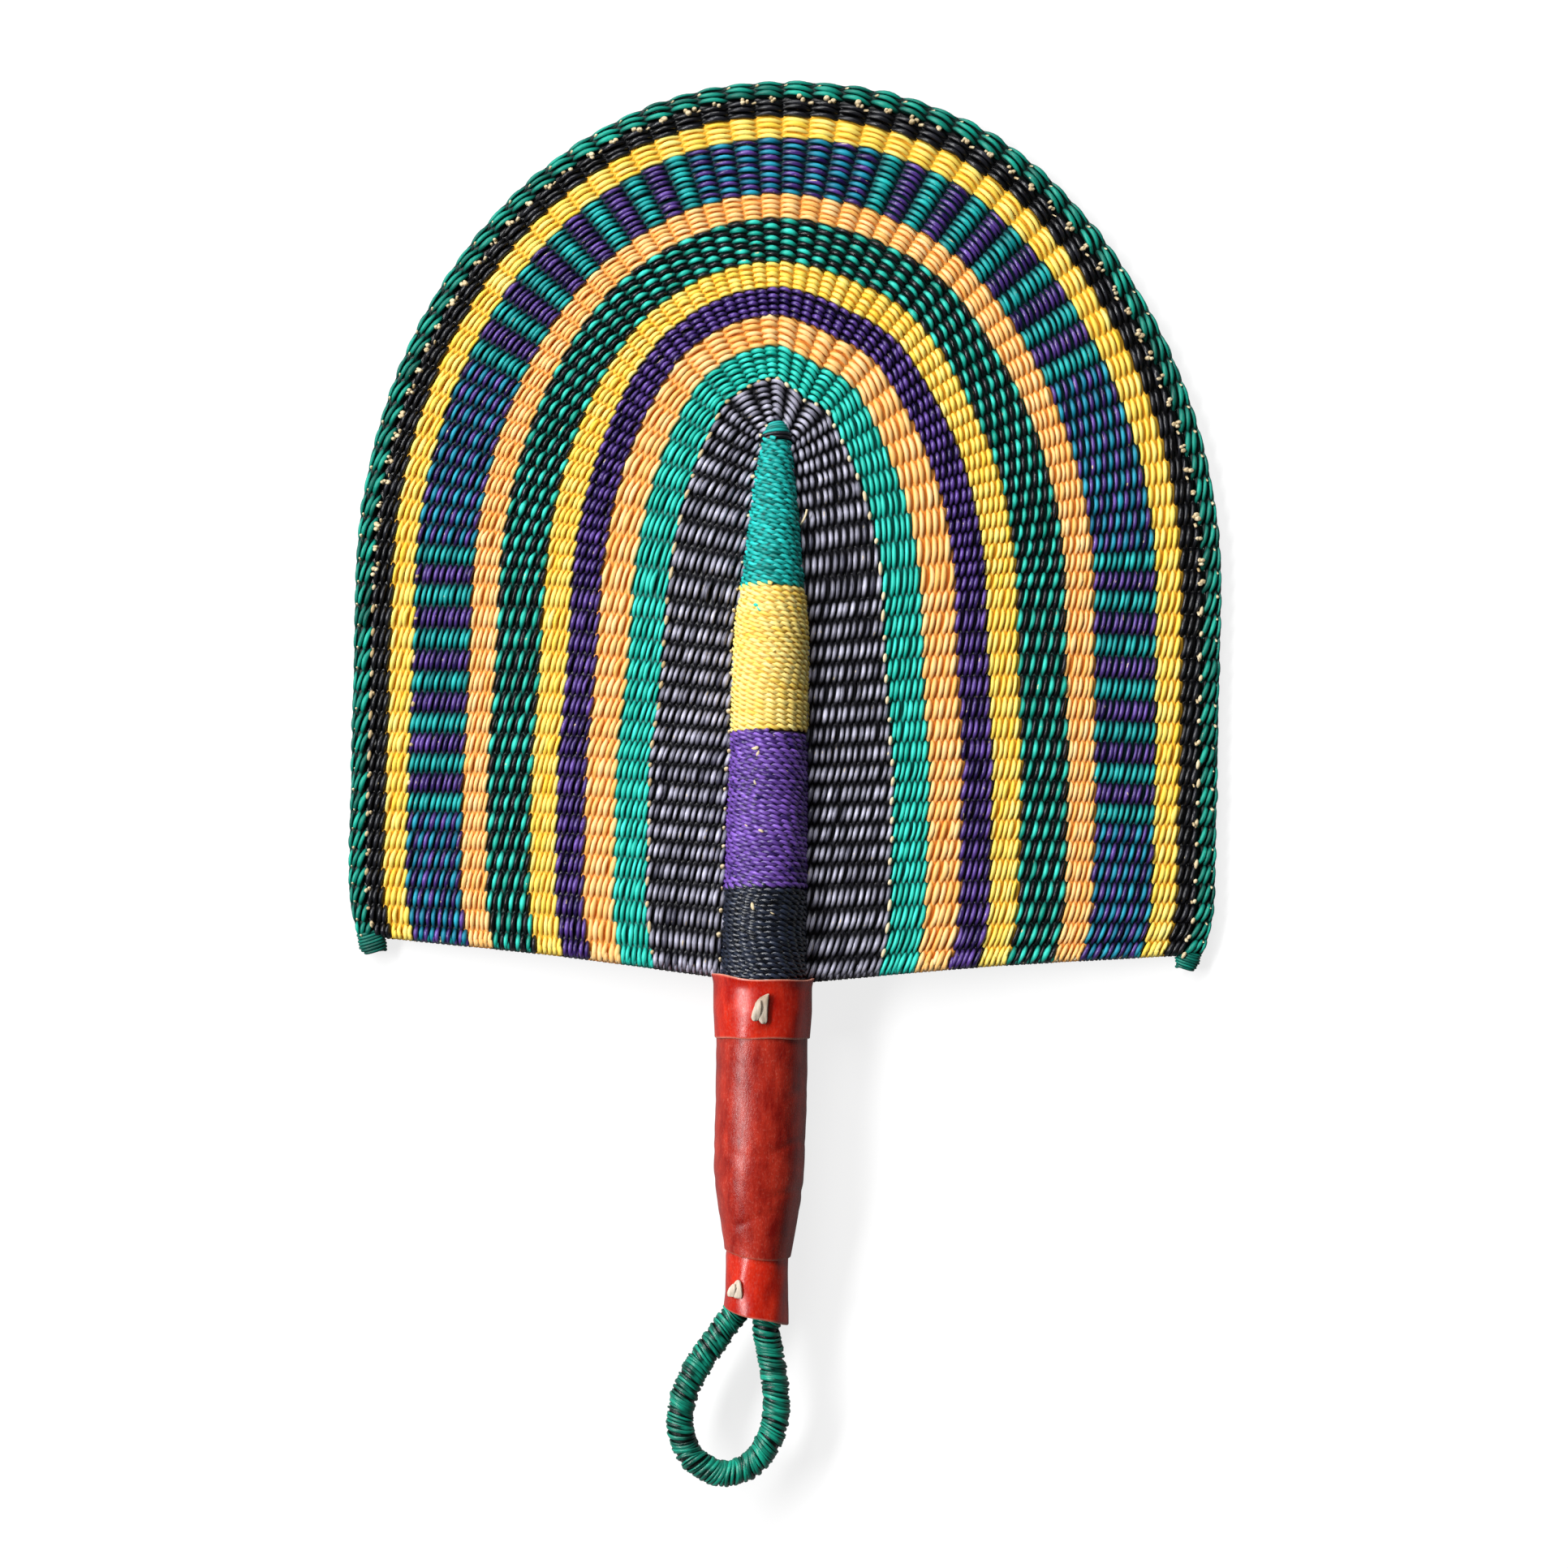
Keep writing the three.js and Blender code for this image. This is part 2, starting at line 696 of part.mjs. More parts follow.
function winding(name, from, to) {
  const bend = (cordDiameter / 2) * Math.tan(Math.PI / stepsPerTurn);
  const turnLength = 2 * Math.PI * windingRadius(windingTop - windingPitch * to);
  const endGap = (clearance / 2 + bend) / turnLength;
  const start = from + endGap;
  const end = to - endGap;
  const steps = Math.round((to - from) * stepsPerTurn);
  const stations = Array.from({ length: steps + 1 }, (_, k) => {
    if (k === 0) return start;
    return k === steps ? end : from + k / stepsPerTurn;
  });
  const points = stations.map(helixPoint);
  const gap = leastSelfGap(points, cordDiameter, stepsPerTurn);
  console.log(`${name} least gap to itself ${gap.toFixed(2)} mm`);
  return cord(points, cordDiameter, cordSides, (k) => points[k].clone().setY(0));
}

// Tip knot: a cord bent over the front of the hub

function tipKnot() {
  const seat = hubLevel + stakeThickness / 2 + clearance + knotCordDiameter / 2;
  const foot = tipHeight - hubRadius - knotBend / 2;
  const curve = new THREE.CatmullRomCurve3([
    new THREE.Vector3(-knotSpan / 2, foot, seat),
    new THREE.Vector3(-knotSpan / 5, foot + knotBend, seat + knotArch),
    new THREE.Vector3(knotSpan / 5, foot + knotBend, seat + knotArch),
    new THREE.Vector3(knotSpan / 2, foot, seat),
  ]);
  const points = curve.getPoints(8);
  return cord(points, knotCordDiameter, 8, () => new THREE.Vector3(0, 0, 1));
}

// Leather

function upperCollar() {
  const outline = [
    [collarInner, collarBottom],
    [collarOuter, collarBottom],
    [collarOuter, collarTop - collarFlareLength],
    [collarOuter + collarFlare, collarTop],
    [collarInner + collarFlare, collarTop],
    [collarInner, collarTop - collarFlareLength],
  ];
  const ground = new THREE.BoxGeometry(6 * collarOuter, 6 * collarLength, collarWall);
  ground.translate(0, collarBottom, -axisHeight - collarWall / 2);
  return cut(cut(turned(outline), [ground]), laceHoles(upperLace));
}

function sleeve() {
  const outside = [];
  const inside = [];
  const mouthTop = sleeveBottom + sleeveMouthLength;
  const steps = 5;
  const levels = [sleeveTop];
  for (let k = 0; k <= steps; k += 1) {
    levels.push(sleeveBottom + sleeveTaperLength * (1 - k / steps));
  }
  levels.forEach((y) => outside.push([sleeveOutside(y), y]));
  inside.push([sleeveInside(sleeveBottom), sleeveBottom], [sleeveInside(mouthTop), mouthTop]);
  levels.filter((y) => y > mouthTop).reverse().forEach((y) => inside.push([sleeveInside(y), y]));
  return turned([...outside, ...inside]);
}

function lowerCollar() {
  const step = mouthLevel + lowerCollarMouthDepth;
  const shoulder = sleeveBottom - clearance;
  const mouthBore = loopDiameter + clearance + loopPoints[loopPoints.length - 1][0] - loopDiameter / 2;
  const outline = [
    [spigotBore, lowerCollarTop],
    [spigotRadius, lowerCollarTop],
    [spigotRadius, shoulder],
    [lowerCollarRadius, shoulder],
    [lowerCollarRadius, step],
    [lowerCollarMouthRadius, mouthLevel],
    [mouthBore, mouthLevel],
    [mouthBore, step - 1],
    [spigotBore, step],
  ];
  return cut(turned(outline), laceHoles(lowerLace));
}

// Rawhide laces: a stitch that stands on the collar, with both ends through slits in it

const upperLace = {
  y: collarTop - upperLaceShare * collarLength,
  radius: collarOuter,
  wall: collarWall,
  turn: upperLaceTurn,
};
const lowerLace = {
  y: mouthLevel + lowerLaceRise,
  radius: lowerCollarRadius,
  wall: lowerCollarWall,
  turn: lowerLaceTurn,
};

function lacePoints(lace) {
  const rise = laceDiameter / 2 + clearance;
  const shoulder = laceShoulderHeight * rise;
  const deep = -lace.wall + clearance;
  const half = laceSpan / 2 - laceDiameter / 2;
  const bend = laceBendShare * half;
  const rising = [[-half, deep], [-half, shoulder], [-bend, rise]];
  const falling = rising.map(([along, height]) => [-along, height]).reverse();
  const profile = [...rising, ...falling];
  const lean = new THREE.Matrix4().makeRotationZ(laceTwist * degree);
  const place = new THREE.Matrix4().makeRotationY(lace.turn * degree);
  return profile.map(([along, height]) => new THREE.Vector3(0, along, 0)
    .applyMatrix4(lean)
    .add(new THREE.Vector3(0, 0, lace.radius + height))
    .applyMatrix4(place)
    .add(new THREE.Vector3(0, lace.y, 0)));
}

function laceCord(lace) {
  const place = new THREE.Matrix4().makeRotationY(lace.turn * degree);
  const across = new THREE.Vector3(1, 0, 0).applyMatrix4(place);
  return cord(lacePoints(lace), laceDiameter, 8, () => across);
}

function laceHoles(lace) {
  const points = lacePoints(lace);
  const middle = new THREE.Vector3(0, lace.y, 0);
  return [points[0], points[points.length - 1]].map((end) => {
    const outward = end.clone().sub(middle).setY(0).normalize();
    const start = end.clone().addScaledVector(outward, -2 * lace.wall);
    const stop = end.clone().addScaledVector(outward, 4 * lace.wall);
    const size = laceDiameter + 2 * clearance;
    return cord([start, stop], size, 8, () => new THREE.Vector3(0, 1, 0));
  });
}

// Hanging loop

const loopCurve = new THREE.CatmullRomCurve3(
  loopPoints.map(([x, y]) => new THREE.Vector3(x, mouthLevel + y, 0)),
  false,
  'centripetal',
);

function loopFrame(share) {
  const at = loopCurve.getPointAt(share);
  const along = loopCurve.getTangentAt(share);
  const across = new THREE.Vector3(-along.y, along.x, 0);
  return { at, across };
}

// Stiff core with round ends, which turn in the mouth of the lower collar
function loopCore() {
  const steps = 26;
  const roundings = [80, 45];
  const points = [];
  const shares = [];
  for (let k = 0; k <= steps; k += 1) {
    points.push(loopCurve.getPointAt(k / steps));
    shares.push(1);
  }
  const cap = (end, outward) => roundings.map((angle) => ({
    point: end.clone().addScaledVector(outward, loopCoreRadius * Math.sin(angle * degree)),
    share: Math.cos(angle * degree),
  }));
  const first = cap(points[0], loopCurve.getTangentAt(0).negate());
  const last = cap(points[steps], loopCurve.getTangentAt(1)).reverse();
  const all = [...first.map((c) => c.point), ...points, ...last.map((c) => c.point)];
  const swell = [...first.map((c) => c.share), ...shares, ...last.map((c) => c.share)];
  return cord(all, 2 * loopCoreRadius, 8, () => new THREE.Vector3(0, 0, 1), (k) => swell[k]);
}

function loopWinding() {
  const length = loopCurve.getLength();
  const bare = loopBareEnd / length;
  const steps = loopTurns * loopTurnSteps;
  const radius = (loopDiameter - loopCordDiameter) / 2;
  const up = new THREE.Vector3(0, 0, 1);
  const centres = [];
  const points = [];
  for (let k = 0; k <= steps; k += 1) {
    const frame = loopFrame(THREE.MathUtils.lerp(bare, 1 - bare, k / steps));
    const angle = (2 * Math.PI * k) / loopTurnSteps - Math.PI / 2;
    centres.push(frame.at);
    points.push(frame.at.clone()
      .addScaledVector(frame.across, radius * Math.cos(angle))
      .addScaledVector(up, radius * Math.sin(angle)));
  }
  const gap = leastSelfGap(points, loopCordDiameter, loopTurnSteps);
  console.log(`loop_winding least gap to itself ${gap.toFixed(2)} mm`);
  return cord(points, loopCordDiameter, cordSides, (k) => points[k].clone().sub(centres[k]));
}

// The fan

const fan = new THREE.Group();
fan.position.set(0, -(collarTop + collarBottom) / 2, axisHeight);

function add(name, geometry, color, roughness) {
  const material = new THREE.MeshStandardMaterial({ color, roughness, metalness: 0 });
  const mesh = new THREE.Mesh(geometry, material);
  mesh.name = name;
  fan.add(mesh);
}

const straw = 0.6;
add('rim_braid', rimBraid(), 0x0d4a3f, straw);
for (const band of bands) {
  const { outer, inner } = depthOf[band.name];
  add(band.name, sleeveBand(outer + clearance / 2, inner - clearance / 2), band.color, straw);
}
const toHandle = (line) => handleDepth(line, 2 * clearance);
add(blackField.name, sleeveBand(woven + clearance / 2, toHandle), blackField.color, straw);

const cream = 0xe6d6ae;
const bundles = stakeBundles();
add('left_stakes', joined(bundles.left), cream, straw);
add('right_stakes', joined(bundles.right), cream, straw);
add('crown_stakes', joined(bundles.crown), cream, straw);

const firstTurn = 0.25;
const changes = [firstTurn, ...[yellowTop, purpleTop, blackWindingLength, windingFoot].map(turnsAt)];
const windings = [
  ['teal_winding', 0x12a58c],
  ['yellow_winding', 0xe9b935],
  ['purple_winding', 0x4a2a86],
  ['black_winding', 0x26262c],
];
windings.forEach(([name, color], k) => add(name, winding(name, changes[k], changes[k + 1]), color, straw));
add('tip_knot', tipKnot(), 0x12a58c, straw);

const leather = 0.45;
add('upper_collar', upperCollar(), 0x8a3d1c, leather);
add('leather_sleeve', sleeve(), 0x6d3420, leather);
add('lower_collar', lowerCollar(), 0x7d3519, leather);
const rawhide = 0xe9dfc2;
add('upper_lace', laceCord(upperLace), rawhide, leather);
add('lower_lace', laceCord(lowerLace), rawhide, leather);
add('loop_core', loopCore(), cream, straw);
add('loop_winding', loopWinding(), 0x0d4a3f, straw);

export default fan;
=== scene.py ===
# Looks of a hand fan of twined grass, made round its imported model.
# Shapes are made in the fan's own frame, in millimetres: X across the blade, Y = 0 at the foot of the
# blade and rising to the crown, Z = 0 at the axis of the handle. placed() turns them into metres.
import math
from collections import defaultdict

import bpy
import numpy as np
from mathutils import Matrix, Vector


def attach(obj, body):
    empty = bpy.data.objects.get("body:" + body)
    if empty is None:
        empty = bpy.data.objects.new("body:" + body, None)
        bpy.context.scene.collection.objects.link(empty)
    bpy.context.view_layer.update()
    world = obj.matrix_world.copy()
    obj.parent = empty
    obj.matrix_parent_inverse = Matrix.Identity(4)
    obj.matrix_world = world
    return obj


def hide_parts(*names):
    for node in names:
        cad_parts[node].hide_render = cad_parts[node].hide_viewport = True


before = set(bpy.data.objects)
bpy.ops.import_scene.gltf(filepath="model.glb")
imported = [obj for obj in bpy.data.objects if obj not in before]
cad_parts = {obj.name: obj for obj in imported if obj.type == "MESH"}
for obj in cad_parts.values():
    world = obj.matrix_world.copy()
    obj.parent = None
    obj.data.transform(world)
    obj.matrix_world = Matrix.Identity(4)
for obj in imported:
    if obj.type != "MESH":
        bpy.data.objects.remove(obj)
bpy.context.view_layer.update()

dice = np.random.default_rng(23)

RIGHTWARD = np.array([1.0, 0, 0])
CROWNWARD = np.array([0.0, 1, 0])
UPWARD = np.array([0.0, 0, 1])

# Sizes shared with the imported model
AXIS_HEIGHT = 16.8
FAN_SHIFT = np.array([0.0, 11.45, AXIS_HEIGHT])
REACH_LEFT = 144.5
REACH_RIGHT = 155.5
CROWN_HEIGHT = 310.0
SPRING_HEIGHT = 134.0
CORNER_HEIGHT = 9.5
CORNER_DRAW_IN = 4.5
CORNER_LENGTH = 22.0
RIM_WIDTH = 6.6
RIM_THICKNESS = 7.0
RIGHT_STRETCH = 0.085
RIGHT_BLEND = 8
SHOULDER_STRETCH = 0.055
SHOULDER_SHARE = 0.5
SHOULDER_SPREAD = 0.28
PITCH_GROWTH = 1.75
SIDE_TILT = math.radians(-1)
FOOT_TILT = math.radians(6)
FOOT_TILT_SHARE = 0.14
SINGLES = 18
PAIRS = 14
FIRST_STAKE = 0.7
STAKES_PER_SIDE = SINGLES + 2 * PAIRS
CROWN_STATION = STAKES_PER_SIDE + FIRST_STAKE - 0.5
WINDING_FOOT = -4.2
BLACK_TOP = 31.0
PURPLE_TOP = 84.0
YELLOW_TOP = 134.0
WINDING_TOP = 177.8
WINDING_FOOT_RADIUS = 15.3
TIP_HEIGHT = 190.0
HUB_RADIUS = 5.0
TIP_FOOT = TIP_HEIGHT - HUB_RADIUS
COLLAR_TOP = 1.4
COLLAR_BOTTOM = -19.9
COLLAR_OUTER = 17.3
SLEEVE_TOP = -6.7
SLEEVE_BOTTOM = -94.7
SLEEVE_RADIUS = 15.55
SLEEVE_MOUTH = 11.1
SLEEVE_TAPER = 30.0
SLEEVE_WALL = 1.6
MOUTH_LEVEL = -115.5
MOUTH_RADIUS = 11.4
LOWER_COLLAR_RADIUS = 10.9
LOOP_RADIUS = 4.7

# Level and radius up the handle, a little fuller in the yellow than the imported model
WINDING_LEVELS, WINDING_RADII = np.transpose([
    (WINDING_FOOT, 15.1), (6, 14.8), (24, 14.5), (53, 14.1), (PURPLE_TOP, 13.5), (111, 13.3), (121.5, 12.9),
    (129, 12.1), (YELLOW_TOP, 11.3), (142, 10.3), (151, 9.4), (161, 8.4), (173.6, 6.8), (WINDING_TOP, 6.2),
    (TIP_FOOT, 5.2),
])


def placed(points):
    return (np.asarray(points, float) + FAN_SHIFT) * 0.001


def vectors(x, y, z):
    return np.stack(np.broadcast_arrays(x, y, z), -1)


def unit(arrows):
    return arrows / (np.linalg.norm(arrows, axis=-1, keepdims=True) + 1e-12)


def lengths_along(paths):
    """Length of each path up to each of its points."""
    steps = np.linalg.norm(np.diff(paths, axis=-2), axis=-1)
    return np.concatenate([np.zeros((*steps.shape[:-1], 1)), np.cumsum(steps, axis=-1)], axis=-1)


def smooth_noise(count, knots, size):
    """Random values along a line, smooth between a number of knots."""
    values = dice.normal(0, size, knots + 2)
    spots = np.linspace(0, knots + 1, count)
    low = np.clip(spots.astype(int), 0, knots)
    part = spots - low
    part = part * part * (3 - 2 * part)
    return values[low] * (1 - part) + values[low + 1] * part


def jitter(spread, count):
    """One random value for each of a number of tubes."""
    return dice.normal(0, spread, (count, 1))


def random_tone(middle, spread, shape):
    return np.clip(dice.normal(middle, spread, shape), 0, 1)


# The blade's shape: half an ellipse over straight legs, with a small bulge on the right shoulder

RIGHT_BULGE = 0.02
BULGE_ANGLE = math.radians(62)
BULGE_SPREAD = math.radians(19)
LEG_STEPS = 60
ARCH_STEPS = 181


def half_rim(reach, bulge):
    leg = np.linspace(CORNER_HEIGHT, SPRING_HEIGHT, LEG_STEPS, endpoint=False)
    below = np.maximum(0, 1 - (leg - CORNER_HEIGHT) / CORNER_LENGTH)
    angle = np.linspace(0, math.pi / 2, ARCH_STEPS)
    swell = 1 + bulge * np.exp(-((angle - BULGE_ANGLE) / BULGE_SPREAD) ** 2)
    x = np.concatenate([reach - CORNER_DRAW_IN * below ** 2, reach * swell * np.cos(angle)])
    y = np.concatenate([leg, SPRING_HEIGHT + (CROWN_HEIGHT - SPRING_HEIGHT) * swell * np.sin(angle)])
    return x, y, lengths_along(np.stack([x, y], -1))


RIMS = {-1: half_rim(REACH_LEFT, 0.0), 1: half_rim(REACH_RIGHT, RIGHT_BULGE)}

# Ribs bend as they near the handle: their slope there, in degrees, from corner to crown
INNER_SHARES, INNER_ANGLES = np.transpose([
    (0, 6.5), (0.05, 4.5), (0.1, 3), (0.2, 3), (0.38, 6.5), (0.45, 8.5), (0.56, 13), (0.7, 21.5), (0.74, 28),
    (0.784, 42), (0.827, 55), (0.87, 66), (0.913, 75), (0.957, 83), (1, 90),
])
# Depth where the bend starts, on the sides and from the shoulder on
BCUT_SHARES = [0.45, 0.7]
BEND_DEPTHS = [50, 84]
BEND_RUN = 40.0


def ribs(places):
    """Ribs at places along the rim, counted in stakes from the left corner to the right one."""
    places = np.asarray(places, float)
    sign = np.where(places <= CROWN_STATION, -1.0, 1.0)
    station = np.where(sign < 0, places, 2 * CROWN_STATION - places)
    share = station / CROWN_STATION
    growth = PITCH_GROWTH - 1
    part = (share + growth * share ** 2 / 2) / (1 + growth / 2)
    x = np.empty_like(places)
    y = np.empty_like(places)
    for side, (rim_x, rim_y, lengths) in RIMS.items():
        here = sign == side
        x[here] = np.interp(part[here] * lengths[-1], lengths, rim_x)
        y[here] = np.interp(part[here] * lengths[-1], lengths, rim_y)
    reach = np.where(sign < 0, REACH_LEFT, REACH_RIGHT)
    above = np.maximum(0, y - SPRING_HEIGHT) / (CROWN_HEIGHT - SPRING_HEIGHT) ** 2
    tilt = SIDE_TILT * (1 - share) + FOOT_TILT * np.maximum(0, 1 - share / FOOT_TILT_SHARE) ** 2
    shoulder = np.maximum(0, 1 - ((share - SHOULDER_SHARE) / SHOULDER_SPREAD) ** 2)
    on_right = np.where(sign < 0, 0, np.minimum(1, RIGHT_BLEND * (1 - share)))
    return {
        "sign": sign,
        "x": x,
        "y": y,
        "angle": np.arctan2(above, np.maximum(0, x) / (reach * REACH_LEFT)) + tilt,
        "stretch": 1 + SHOULDER_STRETCH * shoulder + RIGHT_STRETCH * on_right,
        "inner_angle": np.radians(np.interp(share, INNER_SHARES, INNER_ANGLES)),
        "bend_from": np.interp(share, BCUT_SHARES, BEND_DEPTHS),
    }


RIM_LEVEL = RIM_THICKNESS / 2 - AXIS_HEIGHT
FALL = -RIM_LEVEL / (REACH_LEFT - WINDING_FOOT_RADIUS - RIM_WIDTH / 2)


def blade(rib, depth, lift=0.0):
    """Points on the blade at a depth inward along each rib, lifted off its middle."""
    past = np.maximum(0, depth - rib["bend_from"])
    turned = np.where(past < BEND_RUN, past ** 2 / (2 * BEND_RUN), past - BEND_RUN / 2)
    straight = depth - turned
    along = straight * np.cos(rib["angle"]) + turned * np.cos(rib["inner_angle"])
    down = straight * np.sin(rib["angle"]) + turned * np.sin(rib["inner_angle"])
    x = rib["sign"] * (rib["x"] - rib["stretch"] * along)
    y = rib["y"] - rib["stretch"] * down
    z = RIM_LEVEL + FALL * (depth - RIM_WIDTH / 2) + lift
    return vectors(x, y, z)


def inward(rib, depth):
    """Unit direction inward along each rib at a depth."""
    turned = np.clip((depth - rib["bend_from"]) / BEND_RUN, 0, 1)
    angle = rib["angle"] * (1 - turned) + rib["inner_angle"] * turned
    return unit(vectors(-rib["sign"] * np.cos(angle), -np.sin(angle), FALL))


def winding_radius(y):
    return np.interp(y, WINDING_LEVELS, WINDING_RADII)


# Depths tried in looking for the handle, and how far grass runs on into its winding
HANDLE_DEPTHS = np.arange(60, 240, 0.25)
SUNK = 1.5


def handle_depth(places, gap=-SUNK):
    """Depth at which the rib at each place comes to the handle's winding or its tip."""
    x, y, _ = np.moveaxis(blade(ribs(places[:, None]), HANDLE_DEPTHS), -1, 0)
    ahead = y - TIP_FOOT
    at_tip = np.hypot(x, ahead) < HUB_RADIUS + gap
    at_side = np.abs(x) < winding_radius(y) + gap
    return HANDLE_DEPTHS[np.argmax(np.where(ahead > 0, at_tip, at_side), axis=1)]


# Tubes of grass, many in one mesh

GRAIN_STEPS = 6
PATCH_MARGIN = 0.05
PATCH_SHAPE = 0.6
CAP_SIZE = 0.4
STRAND_LENGTHS = 900
# Corners of a side face: steps ahead along its tube and beside it round the tube
AHEAD = np.array([0, 0, 1, 1])
BESIDE = np.array([0, 1, 1, 0])
# Shade painted round a tube, by the cosine of the angle from the direction across it: on its flanks, on its
# inner side, or none
SHADE_ROUND_TUBE = {
    "flanks": lambda cosine: cosine ** 4,
    "inner": lambda cosine: (0.5 - 0.5 * cosine) ** 1.4,
    "none": lambda cosine: 0 * cosine,
}


class Tubes:
    """Tubes with an oval section. Each cell of a few steps has its own patch of the bake map."""

    def __init__(self, name, sides):
        self.name = name
        self.sides = sides
        self.batches = []

    def add(self, points, across, wide, thick, tone=0.5, grass=0, cell=GRAIN_STEPS, pit=0.0, gaps="flanks"):
        """points and across are (tubes, steps, 3); wide and thick are half sizes; tone and pit are 0 to 1.

        The shade painted at a step, 0 to 1, colours it towards its grass's painted shade colour, as if it lay
        in a gap.
        Round the tube, shade is painted also on its flanks, on its inner side, where across points out of a
        wound piece, or nowhere.
        """
        points = np.asarray(points, float)
        count, steps = points.shape[:2]
        batch = {"points": points, "gaps": gaps, "cell": cell, "cells": math.ceil((steps - 1) / cell)}
        batch["across"] = np.broadcast_to(across, points.shape)
        for key, value in (("wide", wide), ("thick", thick), ("tone", tone), ("pit", pit)):
            batch[key] = np.broadcast_to(value, (count, steps))
        batch["grass"] = np.broadcast_to(grass, (count, steps - 1))
        self.batches.append(batch)

    def build(self, grasses, body, slot, *nodes):
        """One finished piece of all the tubes, closed at their ends."""
        sides = self.sides
        angles = 2 * math.pi * np.arange(sides) / sides
        circle = np.stack([np.cos(angles), np.sin(angles)])
        patches = sum(len(batch["points"]) * (batch["cells"] + 2) for batch in self.batches)
        columns = max(1, math.ceil(math.sqrt(patches * PATCH_SHAPE)))
        lines = math.ceil(patches / columns)
        made = defaultdict(list)
        first_vert = first_corner = first_patch = 0

        def add_faces(corners, slots, patch, u, v, along, across):
            nonlocal first_corner
            size = corners.shape[-1]
            starts = np.arange(0, corners.size, size)
            room = 1 - 2 * PATCH_MARGIN
            u = (patch % columns + PATCH_MARGIN + u * room) / columns
            v = (patch // columns + PATCH_MARGIN + v * room) / lines
            made["corners"].append(corners.reshape(-1))
            made["starts"].append(first_corner + starts)
            made["slots"].append(slots)
            made["smooth"].append(np.full(len(starts), size == len(AHEAD)))
            for name, pair in (("OFBake", (u, v)), ("Strand", (along, across))):
                pair = [np.broadcast_to(part, corners.shape) for part in pair]
                made[name].append(np.stack(pair, -1).reshape(-1))
            first_corner += corners.size

        for batch in self.batches:
            points = batch["points"]
            cell = batch["cell"]
            grass = batch["grass"]
            count, steps = points.shape[:2]
            run = unit(np.gradient(points, axis=1))
            side = unit(batch["across"] - (batch["across"] * run).sum(-1, keepdims=True) * run)
            rings = points[:, :, None]
            for axis, size, part in zip((side, np.cross(run, side)), ("wide", "thick"), circle):
                rings = rings + axis[:, :, None] * (batch[size][:, :, None] * part)[..., None]
            made["verts"].append(rings.reshape(-1, 3))
            made["tone"].append(np.repeat(batch["tone"].reshape(-1), sides))
            # Painted shade round the tube, joined with the shade painted at each step
            shade_round = SHADE_ROUND_TUBE[batch["gaps"]](circle[0])
            made["pit"].append((1 - (1 - batch["pit"].reshape(-1, 1)) * (1 - shade_round)).reshape(-1))
            lengths = lengths_along(points) + dice.uniform(0, STRAND_LENGTHS, (count, 1))
            girth = 2 * math.pi * math.sqrt(batch["wide"].mean() * batch["thick"].mean())

            tube, step, k, _ = np.ogrid[:count, :steps - 1, :sides, :1]
            quads = first_vert + (tube * steps + step + AHEAD) * sides + (k + BESIDE) % sides
            patch = first_patch + tube * batch["cells"] + step // cell
            v = (k + BESIDE) / sides
            add_faces(quads, np.repeat(grass.reshape(-1), sides), patch, (step % cell + AHEAD) / cell, v,
                      lengths[tube, step + AHEAD], girth * v)
            first_patch += count * batch["cells"]

            rings = first_vert + np.arange(count)[:, None] * steps * sides + np.arange(sides)
            caps = np.concatenate([rings[:, ::-1], rings + (steps - 1) * sides])
            patch = first_patch + np.arange(2 * count)[:, None]
            add_faces(caps, np.concatenate([grass[:, 0], grass[:, -1]]), patch, *(0.5 + CAP_SIZE * circle),
                      *(girth * CAP_SIZE / 2 * circle))
            first_patch += 2 * count
            first_vert += count * steps * sides

        mesh = bpy.data.meshes.new(self.name)
        made = {key: np.concatenate(values) for key, values in made.items()}
        mesh.vertices.add(len(made["verts"]))
        mesh.loops.add(len(made["corners"]))
        mesh.polygons.add(len(made["starts"]))
        mesh.vertices.foreach_set("co", placed(made["verts"]).reshape(-1).astype(np.float32))
        mesh.loops.foreach_set("vertex_index", made["corners"].astype(np.int32))
        mesh.polygons.foreach_set("loop_start", made["starts"].astype(np.int32))
        mesh.polygons.foreach_set("material_index", made["slots"].astype(np.int32))
        mesh.polygons.foreach_set("use_smooth", made["smooth"])
        for name in ("OFBake", "Strand"):
            layer = mesh.uv_layers.new(name=name)
            layer.data.foreach_set("uv", made[name].astype(np.float32))
        for name in ("tone", "pit"):
            add_attribute(mesh, name, made[name])
        piece = new_piece(self.name, mesh, [GRASS[grass] for grass in grasses])
        finish_piece(piece, body, slot, *nodes)


def add_attribute(mesh, name, values):
    attribute = mesh.attributes.new(name, "FLOAT", "POINT")
    attribute.data.foreach_set("value", values.reshape(-1).astype(np.float32))


def new_object(name, data):
    made = bpy.data.objects.new(name, data)
    bpy.context.scene.collection.objects.link(made)
    return made


def new_piece(name, mesh, materials):
    for material in materials:
        mesh.materials.append(material)
    mesh.update()
    return new_object(name, mesh)


def finish_piece(piece, body, slot, *nodes):
    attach(piece, body)
    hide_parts(*nodes)


# Materials

def linear(red, green, blue):
    """A colour as it looks on screen, out of 255, as the numbers that a shader takes."""
    parts = np.array([red, green, blue]) / 255
    parts = np.where(parts <= 0.04045, parts / 12.92, ((parts + 0.055) / 1.055) ** 2.4)
    return (*parts, 1.0)


